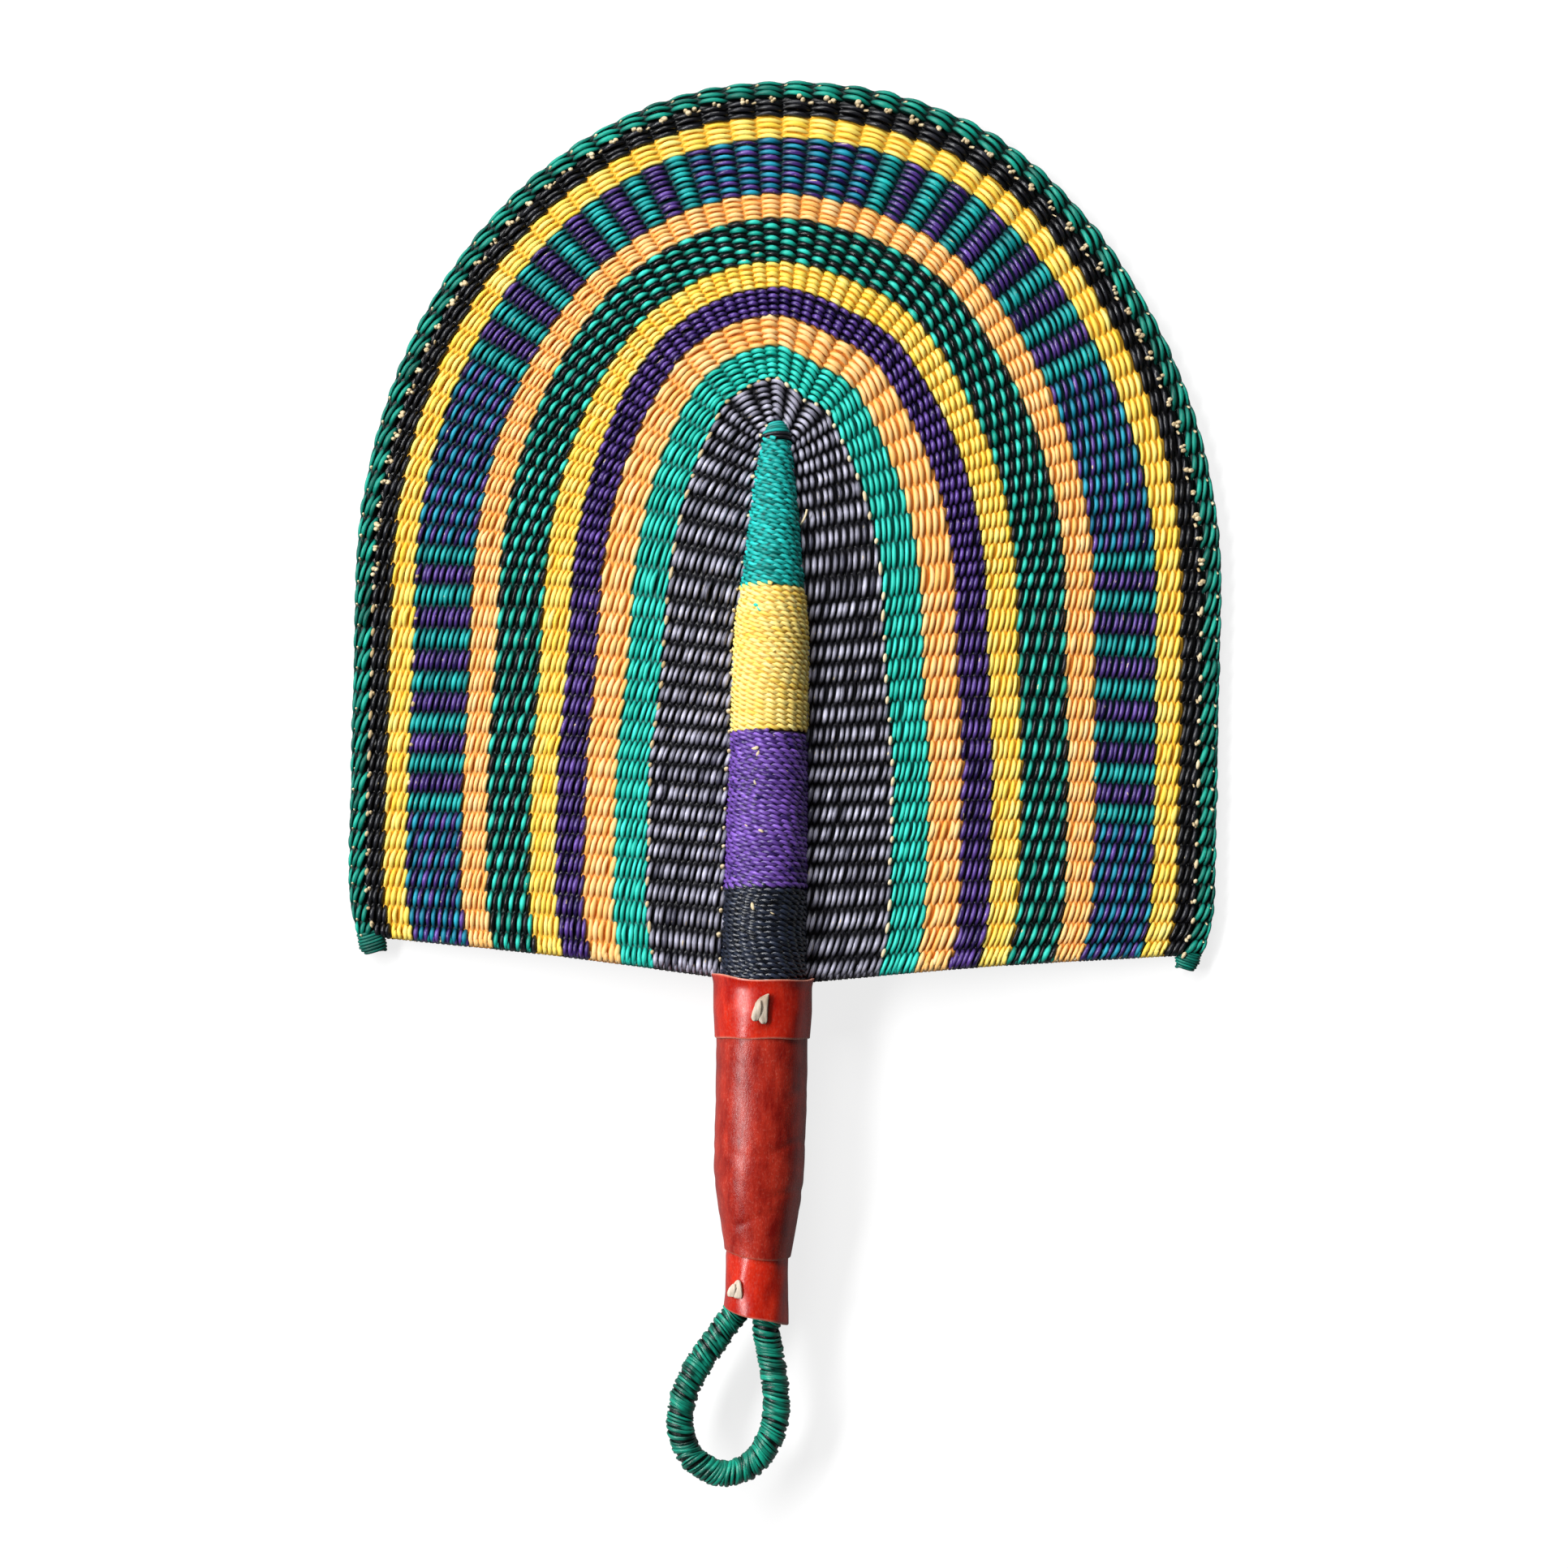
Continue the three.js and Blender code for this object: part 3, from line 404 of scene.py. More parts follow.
class Nodes:
    """The node tree of a material or world, with short ways to add and join nodes."""

    def __init__(self, owner, shader="Principled BSDF"):
        owner.use_nodes = True
        self.owner = owner
        self.tree = owner.node_tree
        self.shader = self.tree.nodes[shader]

    def add(self, kind, inputs=None, **settings):
        node = self.tree.nodes.new(kind)
        for key, value in settings.items():
            setattr(node, key, value)
        for key, value in (inputs or {}).items():
            self.set(node.inputs[key], value)
        return node

    def set(self, socket, value):
        if isinstance(value, bpy.types.NodeSocket):
            self.tree.links.new(value, socket)
        else:
            socket.default_value = value

    def shade(self, socket, value):
        self.set(self.shader.inputs[socket], value)

    def attribute(self, name):
        return self.add("ShaderNodeAttribute", attribute_name=name).outputs["Fac"]

    def noise(self, where, stretch, scale=1.0, detail=2.0, rough=0.5):
        if stretch:
            where = self.add("ShaderNodeMapping", {"Vector": where, "Scale": stretch}).outputs[0]
        inputs = {"Vector": where, "Scale": scale, "Detail": detail, "Roughness": rough}
        return self.add("ShaderNodeTexNoise", inputs).outputs[0]

    def math(self, kind, a, b=0.0):
        return self.add("ShaderNodeMath", {0: a, 1: b}, operation=kind).outputs[0]

    def weighted(self, a, a_weight, b, b_weight):
        return self.math("ADD", self.math("MULTIPLY", a, a_weight), self.math("MULTIPLY", b, b_weight))

    def ramp(self, value, low, high, to_low=0.0, to_high=1.0):
        inputs = {"Value": value, "From Min": low, "From Max": high, "To Min": to_low, "To Max": to_high}
        return self.add("ShaderNodeMapRange", inputs).outputs[0]

    def mix(self, share, a, b):
        node = self.add("ShaderNodeMix", data_type="RGBA")
        for socket, value in ((0, share), (6, a), (7, b)):
            self.set(node.inputs[socket], value)
        return node.outputs[2]

    def bump(self, height, strength, distance):
        inputs = {"Height": height, "Strength": strength, "Distance": distance}
        return self.add("ShaderNodeBump", inputs).outputs[0]


CREAM = linear(226, 205, 160)
# Noise cells per millimetre, along a strand and round it
STREAKS = (0.22, 2.6, 1.0)
PATCHES = (0.06, 0.12, 1.0)
FLECKS = (0.35, 0.8, 1.0)
FIBRES = (0.3, 5.0, 1.0)


def grass_material(name, shade_colour, dark, light, flecks=0.0, rough=0.42, gloss=0.32):
    """Dyed grass: streaks along the strand, tone by grain, shade painted where it lies in a gap, and flecks
    where the dye has missed.
    """
    n = Nodes(bpy.data.materials.new(name))
    strand = n.add("ShaderNodeUVMap", uv_map="Strand").outputs[0]
    streaks = n.noise(strand, STREAKS, detail=3.0)
    patches = n.noise(strand, PATCHES)
    blend = n.weighted(n.attribute("tone"), 0.5, streaks, 0.55)
    blend = n.math("ADD", blend, n.ramp(patches, 0.3, 0.7, -0.2, 0.16))
    colour = n.mix(n.ramp(blend, 0.2, 0.85), linear(*dark), linear(*light))
    if flecks:
        bare = n.ramp(n.noise(strand, FLECKS, rough=0.6), 0.74 - flecks, 0.78 - flecks)
        colour = n.mix(bare, colour, CREAM)
    # Painted shade: towards the shade colour where a step lies in a gap or on a shaded side of its tube
    colour = n.mix(n.ramp(n.attribute("pit"), 0.15, 0.9, 0.0, 0.95), colour, linear(*shade_colour))
    n.shade("Base Color", colour)
    n.shade("Roughness", n.ramp(streaks, 0.25, 0.75, rough - 0.08, rough + 0.14))
    n.shade("Specular IOR Level", gloss)
    n.shade("Normal", n.bump(n.noise(strand, FIBRES, detail=3.0, rough=0.6), 0.35, 0.0003))
    return n.owner


# Each grass: the shade colour painted where it lies in a gap, its darkest and lightest, and then flecks,
# roughness and gloss
# Painted shade colour of the darkest grasses
GAP_SHADE_BLACK = (2, 2, 4)
GRASSES = {
    "black": (GAP_SHADE_BLACK, (4, 4, 8), (38, 39, 47), 0.02, 0.28, 0.5),
    "navy": (GAP_SHADE_BLACK, (3, 4, 9), (46, 54, 74), 0.0, 0.22, 0.7),
    "slate": (GAP_SHADE_BLACK, (74, 73, 90), (218, 216, 238), 0.07, 0.3, 0.4),
    "yellow": ((236, 176, 44), (254, 214, 66), (255, 244, 140)),
    "straw": ((210, 146, 46), (252, 212, 84), (255, 246, 168)),
    "lagoon": ((0, 28, 34), (0, 126, 128), (36, 202, 198), 0.05),
    "petrol": ((0, 16, 40), (0, 106, 138), (40, 178, 204)),
    "purple": ((6, 2, 18), (32, 12, 80), (112, 78, 174), 0.07, 0.28, 0.55),
    "orange": ((236, 154, 62), (255, 190, 100), (255, 222, 160)),
    "green": ((0, 26, 22), (0, 156, 134), (58, 236, 214), 0.07),
    "teal": ((0, 92, 82), (10, 178, 158), (60, 236, 216)),
    "sea": ((0, 30, 28), (0, 112, 104), (44, 226, 218)),
    "loop": ((0, 4, 4), (0, 36, 30), (22, 164, 136), 0.0, 0.3, 0.45),
    "rim": ((0, 10, 10), (0, 88, 76), (22, 180, 156), 0.02),
    "violet": ((4, 1, 12), (28, 6, 78), (150, 104, 216), 0.03, 0.26, 0.55),
    "cream": ((96, 78, 50), (186, 160, 114), (238, 222, 186)),
}
GRASS = {name: grass_material(name + " grass", *values) for name, values in GRASSES.items()}

# Stretch and scale of leather's noises in the metres of the frame, longer along the grip
CLOUDS = ((1.0, 0.5, 1.0), 150.0, 4.0, 0.6)
LEATHER_STREAKS = ((1.0, 0.2, 1.0), 520.0, 4.0, 0.7)
LEATHER_GRAIN = ((1.0, 0.55, 1.0), 1700.0, 3.0, 0.6)
PORES = (None, 3200.0, 2.0, 0.6)


def leather_material(name, dark, light, pale, rough, wear):
    """Tanned leather: streaks along the grip, fine grain, worn flecks and pale cut edges."""
    n = Nodes(bpy.data.materials.new(name))
    where = n.add("ShaderNodeTexCoord").outputs["Object"]
    clouds, streaks, grain, pores = [n.noise(where, *kind) for kind in (
        CLOUDS, LEATHER_STREAKS, LEATHER_GRAIN, PORES)]
    colour = n.mix(n.ramp(n.weighted(clouds, 0.6, streaks, 0.4), 0.36, 0.64), linear(*dark), linear(*light))
    flecks = n.math("MULTIPLY", n.ramp(grain, 0.54, 0.7), n.ramp(clouds, 0.4, 0.66, 0.05, 0.34 * wear))
    edge = n.math("MULTIPLY", n.attribute("worn"), n.ramp(streaks, 0.25, 0.6, 0.55, 1.0))
    for share in (flecks, edge):
        colour = n.mix(share, colour, linear(*pale))
    n.shade("Base Color", colour)
    n.shade("Roughness", n.ramp(grain, 0.3, 0.7, rough - 0.05, rough + 0.14))
    n.shade("Specular IOR Level", 0.42)
    n.shade("Normal", n.bump(n.weighted(grain, wear, pores, 0.25), 0.4, 0.00025))
    return n.owner


COLLAR_LEATHER = leather_material("collar leather", (156, 10, 2), (212, 46, 22), (240, 176, 152), 0.24, 0.3)
SLEEVE_LEATHER = leather_material("sleeve leather", (126, 10, 4), (184, 48, 30), (222, 132, 110), 0.3, 0.9)
RAWHIDE = leather_material("rawhide", (160, 138, 116), (232, 218, 200), (250, 244, 232), 0.6, 0.8)


# The weave

STRAND_SIDES = 8
FLAT_TOP = 0.75
SLANT = 0.35
SLANT_BEND = 1.5
CROWN_SLANT_LOSS = 0.45
# Share by which the painted gap shade grows towards the crown
CROWN_SHADE_GAIN = 0.7
CROWN_ARCH = 0.6
SIDE_ARCH = 0.2
THICKEST = 2.1
# A dark strand between rows, painted all in gap shade: its width in row pitches and its thickness; then the
# tone of such dark fillers
GAP_SHADE_WIDTH = 0.7
GAP_SHADE_THICKNESS = 0.9
FILLER_TONE = 0.3
FOOT_TRIM = 0.2
# Half width of a grain at its ends, how it grows from there, and its half thickness, in row pitches
GRAIN_END = 0.28
GRAIN_CURVE = 0.7
GRAIN_THICKNESS = 0.43
# How much single grains differ in place, height, width and tone
GRAIN_DRIFT = 0.09
GRAIN_PLUMP = 0.1
GRAIN_TONE = 0.24
ROW_WANDER = 0.1

# How grains lie: swing off the blade's middle, width that they gain, and how late and how dark the shade
# painted towards their ends is
LOOSE = {"swing": 2.2, "fill": 0.16, "shade_lateness": 1.5, "gap": 0.85}
FULL = {"swing": 1.6, "fill": 0.21, "shade_lateness": 0.6, "gap": 0.4}
EVEN = {"swing": 1.9, "fill": 0.18, "shade_lateness": 0.8, "gap": 0.55}
OPEN = {"swing": 2.2, "fill": 0.15, "shade_lateness": 3.0, "gap": 1.0}
BRAID = {"fill": 0.17, "shade_lateness": 0.7, "gap": 0.8}

# Bands from the rim inward: width, rows of weft, the grasses in it, its slot, and how its grains lie
BANDS = [
    ("band_black_outer", 6.1, 3, ("black",), "black_grass", LOOSE),
    ("band_yellow_outer", 7.6, 4, ("yellow",), "yellow_grass", FULL),
    ("band_check", 19.3, 10, ("lagoon", "purple", "petrol"), "check_grass", LOOSE),
    ("band_orange_outer", 8.7, 5, ("orange",), "orange_grass", FULL),
    ("band_green_black", 15.0, 8, ("green", "black"), "green_black_grass", LOOSE),
    ("band_yellow_inner", 9.0, 5, ("yellow",), "yellow_grass", FULL),
    ("band_purple", 9.7, 5, ("purple",), "purple_grass", LOOSE),
    ("band_orange_inner", 10.6, 5, ("orange",), "orange_grass", FULL),
    ("band_teal", 11.2, 6, ("teal",), "teal_grass", EVEN),
]
FIELD_PITCH = 2.1
# Pairs of stakes run on as one rib inside the first seven bands
BANDS_TO_FORK = 7
FORK_DEPTH = RIM_WIDTH + sum(width for _, width, *_ in BANDS[:BANDS_TO_FORK])

# Runs of stakes in the check band from the left corner to the right: True where both grasses mix on each
CHECK_RUNS = [
    (7, True), (13, False), (9, True), (13, False), (8, True), (13, False), (9, True), (13, False), (7, True),
]
# How plump the grains of each grass are where a band has more than one
PLUMPNESS = {"band_check": np.array([1.04, 0.96, 1.1]), "band_green_black": np.array([1.14, 0.86])}
# Grass on the other face of a cell: lagoon or green turns to the second grass, and that to the first
OTHER_FACE = np.array([1, 0, 1])

OUTER_EDGES = np.arange(0, 2 * STAKES_PER_SIDE + 1) + FIRST_STAKE - 0.5
OUTER_EDGES[0] += FOOT_TRIM
OUTER_EDGES[-1] -= FOOT_TRIM
FORK_START = SINGLES + FIRST_STAKE - 0.5
INNER_EDGES = np.concatenate([
    OUTER_EDGES[:SINGLES],
    FORK_START + 2 * np.arange(2 * PAIRS),
    OUTER_EDGES[-SINGLES - 1:],
])
# Round the tip of the handle two ribs run as one
MERGED_AT_TIP = len(INNER_EDGES) // 2 + np.array([-4, -2, 0, 2, 4])
FIELD_EDGES = np.delete(INNER_EDGES, MERGED_AT_TIP)


def row_places(edges):
    """Places along a row: a few steps in each cell, which is one stake wide."""
    parts = np.arange(GRAIN_STEPS) / GRAIN_STEPS
    places = (edges[:-1, None] + np.diff(edges)[:, None] * parts).reshape(-1)
    return np.append(places, edges[-1])


def weave(tubes, edges, depths, pitch, swing, fill, shade_lateness, gap, slant=SLANT, colours=None, plumpness=None,
          bare_rows=0, gap_shade_width=GAP_SHADE_WIDTH):
    """Rows of two strands that turn half round each other at each stake. depths are (rows, places).

    packing is how wide the dark strand is, painted all in gap shade, that fills the space between two rows.
    The first bare_rows rows have none on their outer side.
    """
    places = row_places(edges)
    turn = math.pi * np.arange(len(places)) / GRAIN_STEPS - math.pi / 2
    rib = ribs(places)
    cells = len(edges) - 1
    rows = len(depths)
    pitches = np.broadcast_to(pitch, depths.shape)
    cell_of = np.minimum(np.arange(len(places)) // GRAIN_STEPS, cells - 1)
    near_crown = (1 - np.abs(places / CROWN_STATION - 1)) ** 2
    slant_fade = 1 - CROWN_SLANT_LOSS * near_crown
    arch = SIDE_ARCH + (CROWN_ARCH - SIDE_ARCH) * near_crown
    # Painted gap shade, darker towards the crown
    gap = gap + CROWN_SHADE_GAIN * (1 - gap) * near_crown
    # A dark strand, painted all in gap shade, fills the space between each two rows
    at_stakes = slice(None, None, GRAIN_STEPS)
    between = ribs(edges)
    outside = (depths - pitches / 2)[bare_rows:, at_stakes]
    shade_strand_width = gap_shade_width * pitches[bare_rows:, at_stakes]
    tubes.add(blade(between, outside), inward(between, outside), shade_strand_width, GAP_SHADE_THICKNESS,
              FILLER_TONE, cell=2, pit=1.0)
    for strand in range(2):
        angle = turn + math.pi * strand
        crest = np.abs(np.cos(angle))
        aside = np.sign(np.sin(angle)) * np.abs(np.sin(angle)) ** SLANT_BEND
        drift, plump, raised = dice.normal(0, 1, (3, rows, cells))[:, :, cell_of] * crest
        tone = random_tone(0.5, GRAIN_TONE, (rows, cells))[:, cell_of]
        depth = depths + pitches * (slant * slant_fade * aside + GRAIN_DRIFT * drift) + arch * (0.5 - crest)
        lift = swing * np.sign(np.cos(angle)) * crest ** FLAT_TOP * (1 + GRAIN_DRIFT * raised)
        plump = 1 + GRAIN_PLUMP * plump
        wide = pitches * (GRAIN_END + fill * crest ** GRAIN_CURVE) * plump
        thick = GRAIN_THICKNESS * np.minimum(pitches, THICKEST) * (0.85 + 0.15 * crest) * plump
        grass = 0
        if colours is not None:
            in_front = (np.arange(cells) + strand) % 2 == 0
            shown = np.where(in_front, colours, OTHER_FACE[colours])
            grass = np.repeat(shown, GRAIN_STEPS, axis=1)
            wide = wide * (1 + (plumpness[shown][:, cell_of] - 1) * crest)
        # Shade is painted towards each grain's ends, where it turns under the other strand
        tubes.add(blade(rib, depth, lift), inward(rib, depth), wide, thick, tone, grass,
                  pit=gap * (1 - crest ** shade_lateness))


END_TURN = np.linspace(-0.25 * math.pi, 1.25 * math.pi, 11)
END_PLACE = 0.3 - 0.22 * np.sin(END_TURN)
END_LIFT = 1.75 * np.cos(END_TURN)
END_SIZE = 0.36 + 0.1 * np.sin(END_TURN)


def row_ends(tubes, depths, pitch, edges, grasses=1):
    """Small loops along the lower edge, where the strands of each row turn round the last stake."""
    count = len(depths)
    for place, way in ((edges[0], 1), (edges[-1], -1)):
        rib = ribs(place + way * END_PLACE)
        depth = depths[:, None] + jitter(0.15, count) + 0 * END_PLACE
        size = pitch * END_SIZE * (1 + jitter(0.1, count))
        tone = random_tone(0.45, 0.2, (count, 1))
        grass = (np.arange(count) % grasses)[:, None]
        tubes.add(blade(rib, depth, END_LIFT), inward(rib, depth), size, size * 0.9, tone, grass, cell=10)


def band_colours(name, rows, cells):
    """Which grass each row of a band shows at each stake."""
    row = np.arange(rows)[:, None]
    stakes = np.arange(cells)
    if name != "band_check":
        return (row + stakes) % 2
    counts, kinds = zip(*CHECK_RUNS)
    starts = np.repeat(np.cumsum((0, *counts[:-1])), counts)
    return np.where(np.repeat(kinds, counts), 1 + (stakes + row) % 2, (stakes - starts) % 2 + 0 * row)


def make_bands():
    outer = RIM_WIDTH
    edges = OUTER_EDGES
    for number, (name, width, rows, grasses, slot, style) in enumerate(BANDS, 1):
        pitch = width / rows
        middles = outer + pitch * (np.arange(rows) + 0.5)
        steps = len(row_places(edges))
        depths = middles[:, None] + np.stack([smooth_noise(steps, 24, ROW_WANDER) for _ in range(rows)])
        mixed = name in PLUMPNESS
        colours = band_colours(name, rows, len(edges) - 1) if mixed else None
        tubes = Tubes(name + "_weave", STRAND_SIDES)
        weave(tubes, edges, depths, pitch, **style, colours=colours, plumpness=PLUMPNESS.get(name))
        row_ends(tubes, middles, pitch, edges, 2 if mixed else 1)
        tubes.build(grasses, "fan", slot, name)
        outer += width
        if number == BANDS_TO_FORK:
            edges = INNER_EDGES
    return outer


def make_field(outer):
    """Black rows from the last band to the handle. The inner ones stop where the handle is in their way."""
    room = handle_depth((FIELD_EDGES[:-1] + FIELD_EDGES[1:]) / 2) - outer
    tubes = Tubes("band_black_field_weave", STRAND_SIDES)
    for row in range(math.ceil(room.max() / FIELD_PITCH)):
        depth = (row + 0.5) * FIELD_PITCH
        free = np.concatenate([[False], depth < room, [False]])
        turns = np.flatnonzero(free[1:] != free[:-1])
        for first, last in zip(turns[::2], turns[1::2]):
            edges = FIELD_EDGES[first:last + 1]
            depths = outer + depth + smooth_noise(len(row_places(edges)), 16, ROW_WANDER)[None]
            weave(tubes, edges, depths, FIELD_PITCH, **OPEN)
    at_foot = outer + FIELD_PITCH * (np.arange(int(room[0] / FIELD_PITCH)) + 0.5)
    row_ends(tubes, at_foot, FIELD_PITCH, FIELD_EDGES)
    tubes.build(["slate"], "fan", "black_grass", "band_black_field")


# The rim: depth, pitch, swing and slant of its rows, and how wide the dark strands between them are, painted
# all in gap shade

RIM_ROWS = [(0.8, 1.5, 1.4, 0.2), (2.6, 2.0, 2.2, 0.5), (4.7, 2.3, 2.5, 0.52)]
RIM_GAP_SHADE_WIDTH = np.array([[0.62], [0.84]])
BUN_LEAN = math.radians(21)
BUN_TURNS = 7
BUN_TURN_STEPS = 14
BUN_LENGTH = 7.6
BUN_RISE = 4.2
BUN_HEIGHT = 2.6


def make_rim():
    tubes = Tubes("rim_weave", STRAND_SIDES)
    middles, pitches, swings, slants = np.transpose(RIM_ROWS)[:, :, None]
    depths = middles + 0 * row_places(OUTER_EDGES)
    weave(tubes, OUTER_EDGES, depths, pitches, swings, **BRAID, slant=slants, bare_rows=1,
          gap_shade_width=RIM_GAP_SHADE_WIDTH)
    rim_tail(tubes, OUTER_EDGES[0], 1, 1.0)
    rim_tail(tubes, OUTER_EDGES[-1], -1, 0.85)
    tubes.build(["rim"], "fan", "green_grass", "rim_braid")


def rim_tail(tubes, place, way, size):
    """A corner of the rim, where its strands are wound into a small bun. way points inward along X."""
    foot = blade(ribs([place]), np.array([RIM_WIDTH / 2]))[0] + np.array([way * 1.8, -2.6, 0.0])
    turn = np.linspace(0, BUN_TURNS, BUN_TURNS * BUN_TURN_STEPS + 1)
    share = turn / BUN_TURNS
    angle = 2 * math.pi * turn
    wide = np.array([way * math.cos(BUN_LEAN), math.sin(BUN_LEAN), 0])
    down = np.array([way * math.sin(BUN_LEAN), -math.cos(BUN_LEAN), 0])
    half = size * (2.7 + 1.5 * np.sin(math.pi * (0.2 + 0.65 * share))) + smooth_noise(len(turn), 20, 0.25)
    height = size * BUN_HEIGHT * np.sqrt(np.sin(math.pi * (0.12 + 0.76 * share)))
    along = size * (BUN_LENGTH * share - BUN_RISE) + 0.5 * np.sin(angle + 0.8)
    path = foot + np.outer(half * np.cos(angle), wide) + np.outer(along, down)
    path[:, 2] += height * np.sin(angle)
    tone = np.repeat(dice.uniform(0.0, 0.5, BUN_TURNS * 2 + 1), BUN_TURN_STEPS // 2)[:len(turn)]
    # The bun is painted partly in gap shade all over
    tubes.add(path[None], down, 0.62 * size, 0.7, tone, cell=BUN_TURN_STEPS, pit=0.3)


# Stakes, their cut ends and the bundle in the handle

ROD_SIDES = 8
ROD_STEPS = 8
# Level and radius of the bundle, which is painted all in gap shade
CORE = np.array([
    (-112, 7.6), (-89, 7.6), (-86, 9.5), (-66, 12.6), (-10, 12.9), (BLACK_TOP, 12.4), (PURPLE_TOP, 11.4),
    (YELLOW_TOP, 9.2), (WINDING_TOP, 3.9), (186, 2.0),
])
# One loose end beside the tip of the handle
STRAY = np.array([(9.2, 156.0, 2.6), (10.2, 157.6, 3.9), (10.9, 159.4, 4.4), (11.2, 161.2, 4.0)])
# Share of the arch, from the crown, in which the cut ends show in clusters under the rim
CLUSTER_SHARE = 0.6
CLUSTER = ((-0.08, 6.4), (0.08, 6.9), (0.0, 7.4))
TIED_STAKES = np.arange(8, 20, 2) + FIRST_STAKE
TIED_DEPTH = RIM_WIDTH + 14.3
CLEAR_OF_TIP = 6


def make_stakes(woven):
    tubes = Tubes("stake_rods", ROD_SIDES)

    def rods(places, outer, inner):
        share = np.linspace(0, 1, ROD_STEPS)
        points = blade(ribs(places[:, None]), outer * (1 - share) + inner[:, None] * share)
        tone = dice.uniform(0.2, 0.9, (len(places), 1))
        # The stakes are painted nearly all in gap shade, as they lie between the strands
        tubes.add(points, UPWARD, 0.6, 0.8, tone, cell=ROD_STEPS, pit=0.9, gaps="none")

    stakes = np.arange(2 * STAKES_PER_SIDE) + FIRST_STAKE
    single = (stakes < FORK_START) | (stakes > 2 * CROWN_STATION - FORK_START)
    trunks = FORK_START + 1 + 2 * np.arange(2 * PAIRS)
    rods(stakes, RIM_WIDTH - 1.2, np.where(single, handle_depth(stakes), FORK_DEPTH))
    rods(trunks, FORK_DEPTH + 0.4, handle_depth(trunks))
    levels, radii = CORE.T
    # The bundle, painted all in gap shade
    tubes.add(levels[None, :, None] * CROWNWARD, RIGHTWARD, radii, radii, FILLER_TONE, cell=9, pit=1.0)

    at_crown = np.abs(stakes - CROWN_STATION) < CLUSTER_SHARE * CROWN_STATION
    for shift, depth in CLUSTER:
        cut_ends(tubes, stakes[at_crown] + 0.1 + shift, depth, lean=(-0.35, 0.02), lift=1.7, radius=0.8,
                 length=1.9, tone=0.6)
    bare_bits(tubes, stakes[~at_crown], 0.8, 6.4)
    cut_ends(tubes, stakes[::2] + 0.36, 7.4, lean=(-0.2, 0.16), lift=1.8, radius=0.5, length=1.5, tone=0.4)
    cut_ends(tubes, stakes - 0.42, 1.7, lean=(-0.3, 0.1), lift=1.3, radius=0.42, length=1.3, tone=0.7)
    bare_bits(tubes, TIED_STAKES - 0.4, 0.9, TIED_DEPTH)
    foot_stubs(tubes, woven)
    tubes.add(STRAY[None], RIGHTWARD, 0.4, 0.3, 0.95, cell=3, gaps="none")
    inner_stakes = np.concatenate([stakes[single][:-1], trunks])
    on_arch = np.abs(inner_stakes - CROWN_STATION) < STAKES_PER_SIDE - SINGLES
    bare_bits(tubes, inner_stakes, np.where(on_arch, 2.0, 1.0), woven + 0.2)
    beside = inner_stakes[inner_stakes < CROWN_STATION - CLEAR_OF_TIP] + 0.35
    cut_ends(tubes, beside, handle_depth(beside, 0.5), lean=(-0.1, 0.14), lift=1.8, radius=0.62, length=1.6,
             tone=0.75)
    tubes.build(["cream"], "fan", "cream_grass", "left_stakes", "right_stakes", "crown_stakes")


STUB_SPACING = 2.9
STUB_SHARE = 0.6
STUB_TAPER = np.array([1, 1, 1, 0.9, 0.6])


def foot_stubs(tubes, woven):
    """Cream ends of stakes that peep out between the loops of the lower edge."""
    share = np.linspace(0, 1, len(STUB_TAPER))
    for place, way in ((OUTER_EDGES[0], 1), (OUTER_EDGES[-1], -1)):
        depths = np.arange(RIM_WIDTH + 2, woven, STUB_SPACING)
        depths = depths[dice.random(len(depths)) < STUB_SHARE]
        count = len(depths)
        depths = depths + dice.normal(0, 0.5, count)
        rib = ribs(place + way * (0.34 - 0.32 * share))
        lift = dice.uniform(-1.0, 1.3, (count, 1)) + 0 * share
        size = dice.uniform(0.45, 0.75, (count, 1)) * STUB_TAPER
        tone = dice.uniform(0.4, 1.0, (count, 1))
        points = blade(rib, depths[:, None] + jitter(0.4, count) * share, lift)
        tubes.add(points, UPWARD, size, size, tone, cell=4, gaps="none")


def within_rim(places, margin=0.05):
    return np.clip(places, margin, 2 * CROWN_STATION - margin)


def bare_bits(tubes, places, cell, depth):
    """Undyed strand that shows for part of a cell where one colour is tied off to the next."""
    count = len(places)
    share = np.linspace(-1, 1, 7)
    cell = np.broadcast_to(cell, count)[:, None]
    span = np.clip(0.2 + jitter(0.06, count), 0.08, 0.32) * cell
    middle = places[:, None] + (0.42 + jitter(0.05, count)) * cell
    rib = ribs(within_rim(middle + span * share))
    arch = np.sqrt(1 - 0.97 * share ** 2)
    tone = np.where(places < CROWN_STATION, 0.15, 0.8)[:, None] + jitter(0.15, count)
    for face in (1, -1):
        depths = depth + 0.25 * share + jitter(0.15, count)
        points = blade(rib, depths, face * (1.6 + 0.9 * arch))
        tubes.add(points, inward(rib, depths), 0.72 * arch, 0.6 * arch, np.clip(tone, 0, 1), gaps="none")


CUT_SHARES = np.array([0, 0.4, 0.72, 0.9, 1.0])
CUT_TAPER = np.array([1, 1, 1, 0.88, 0.5])


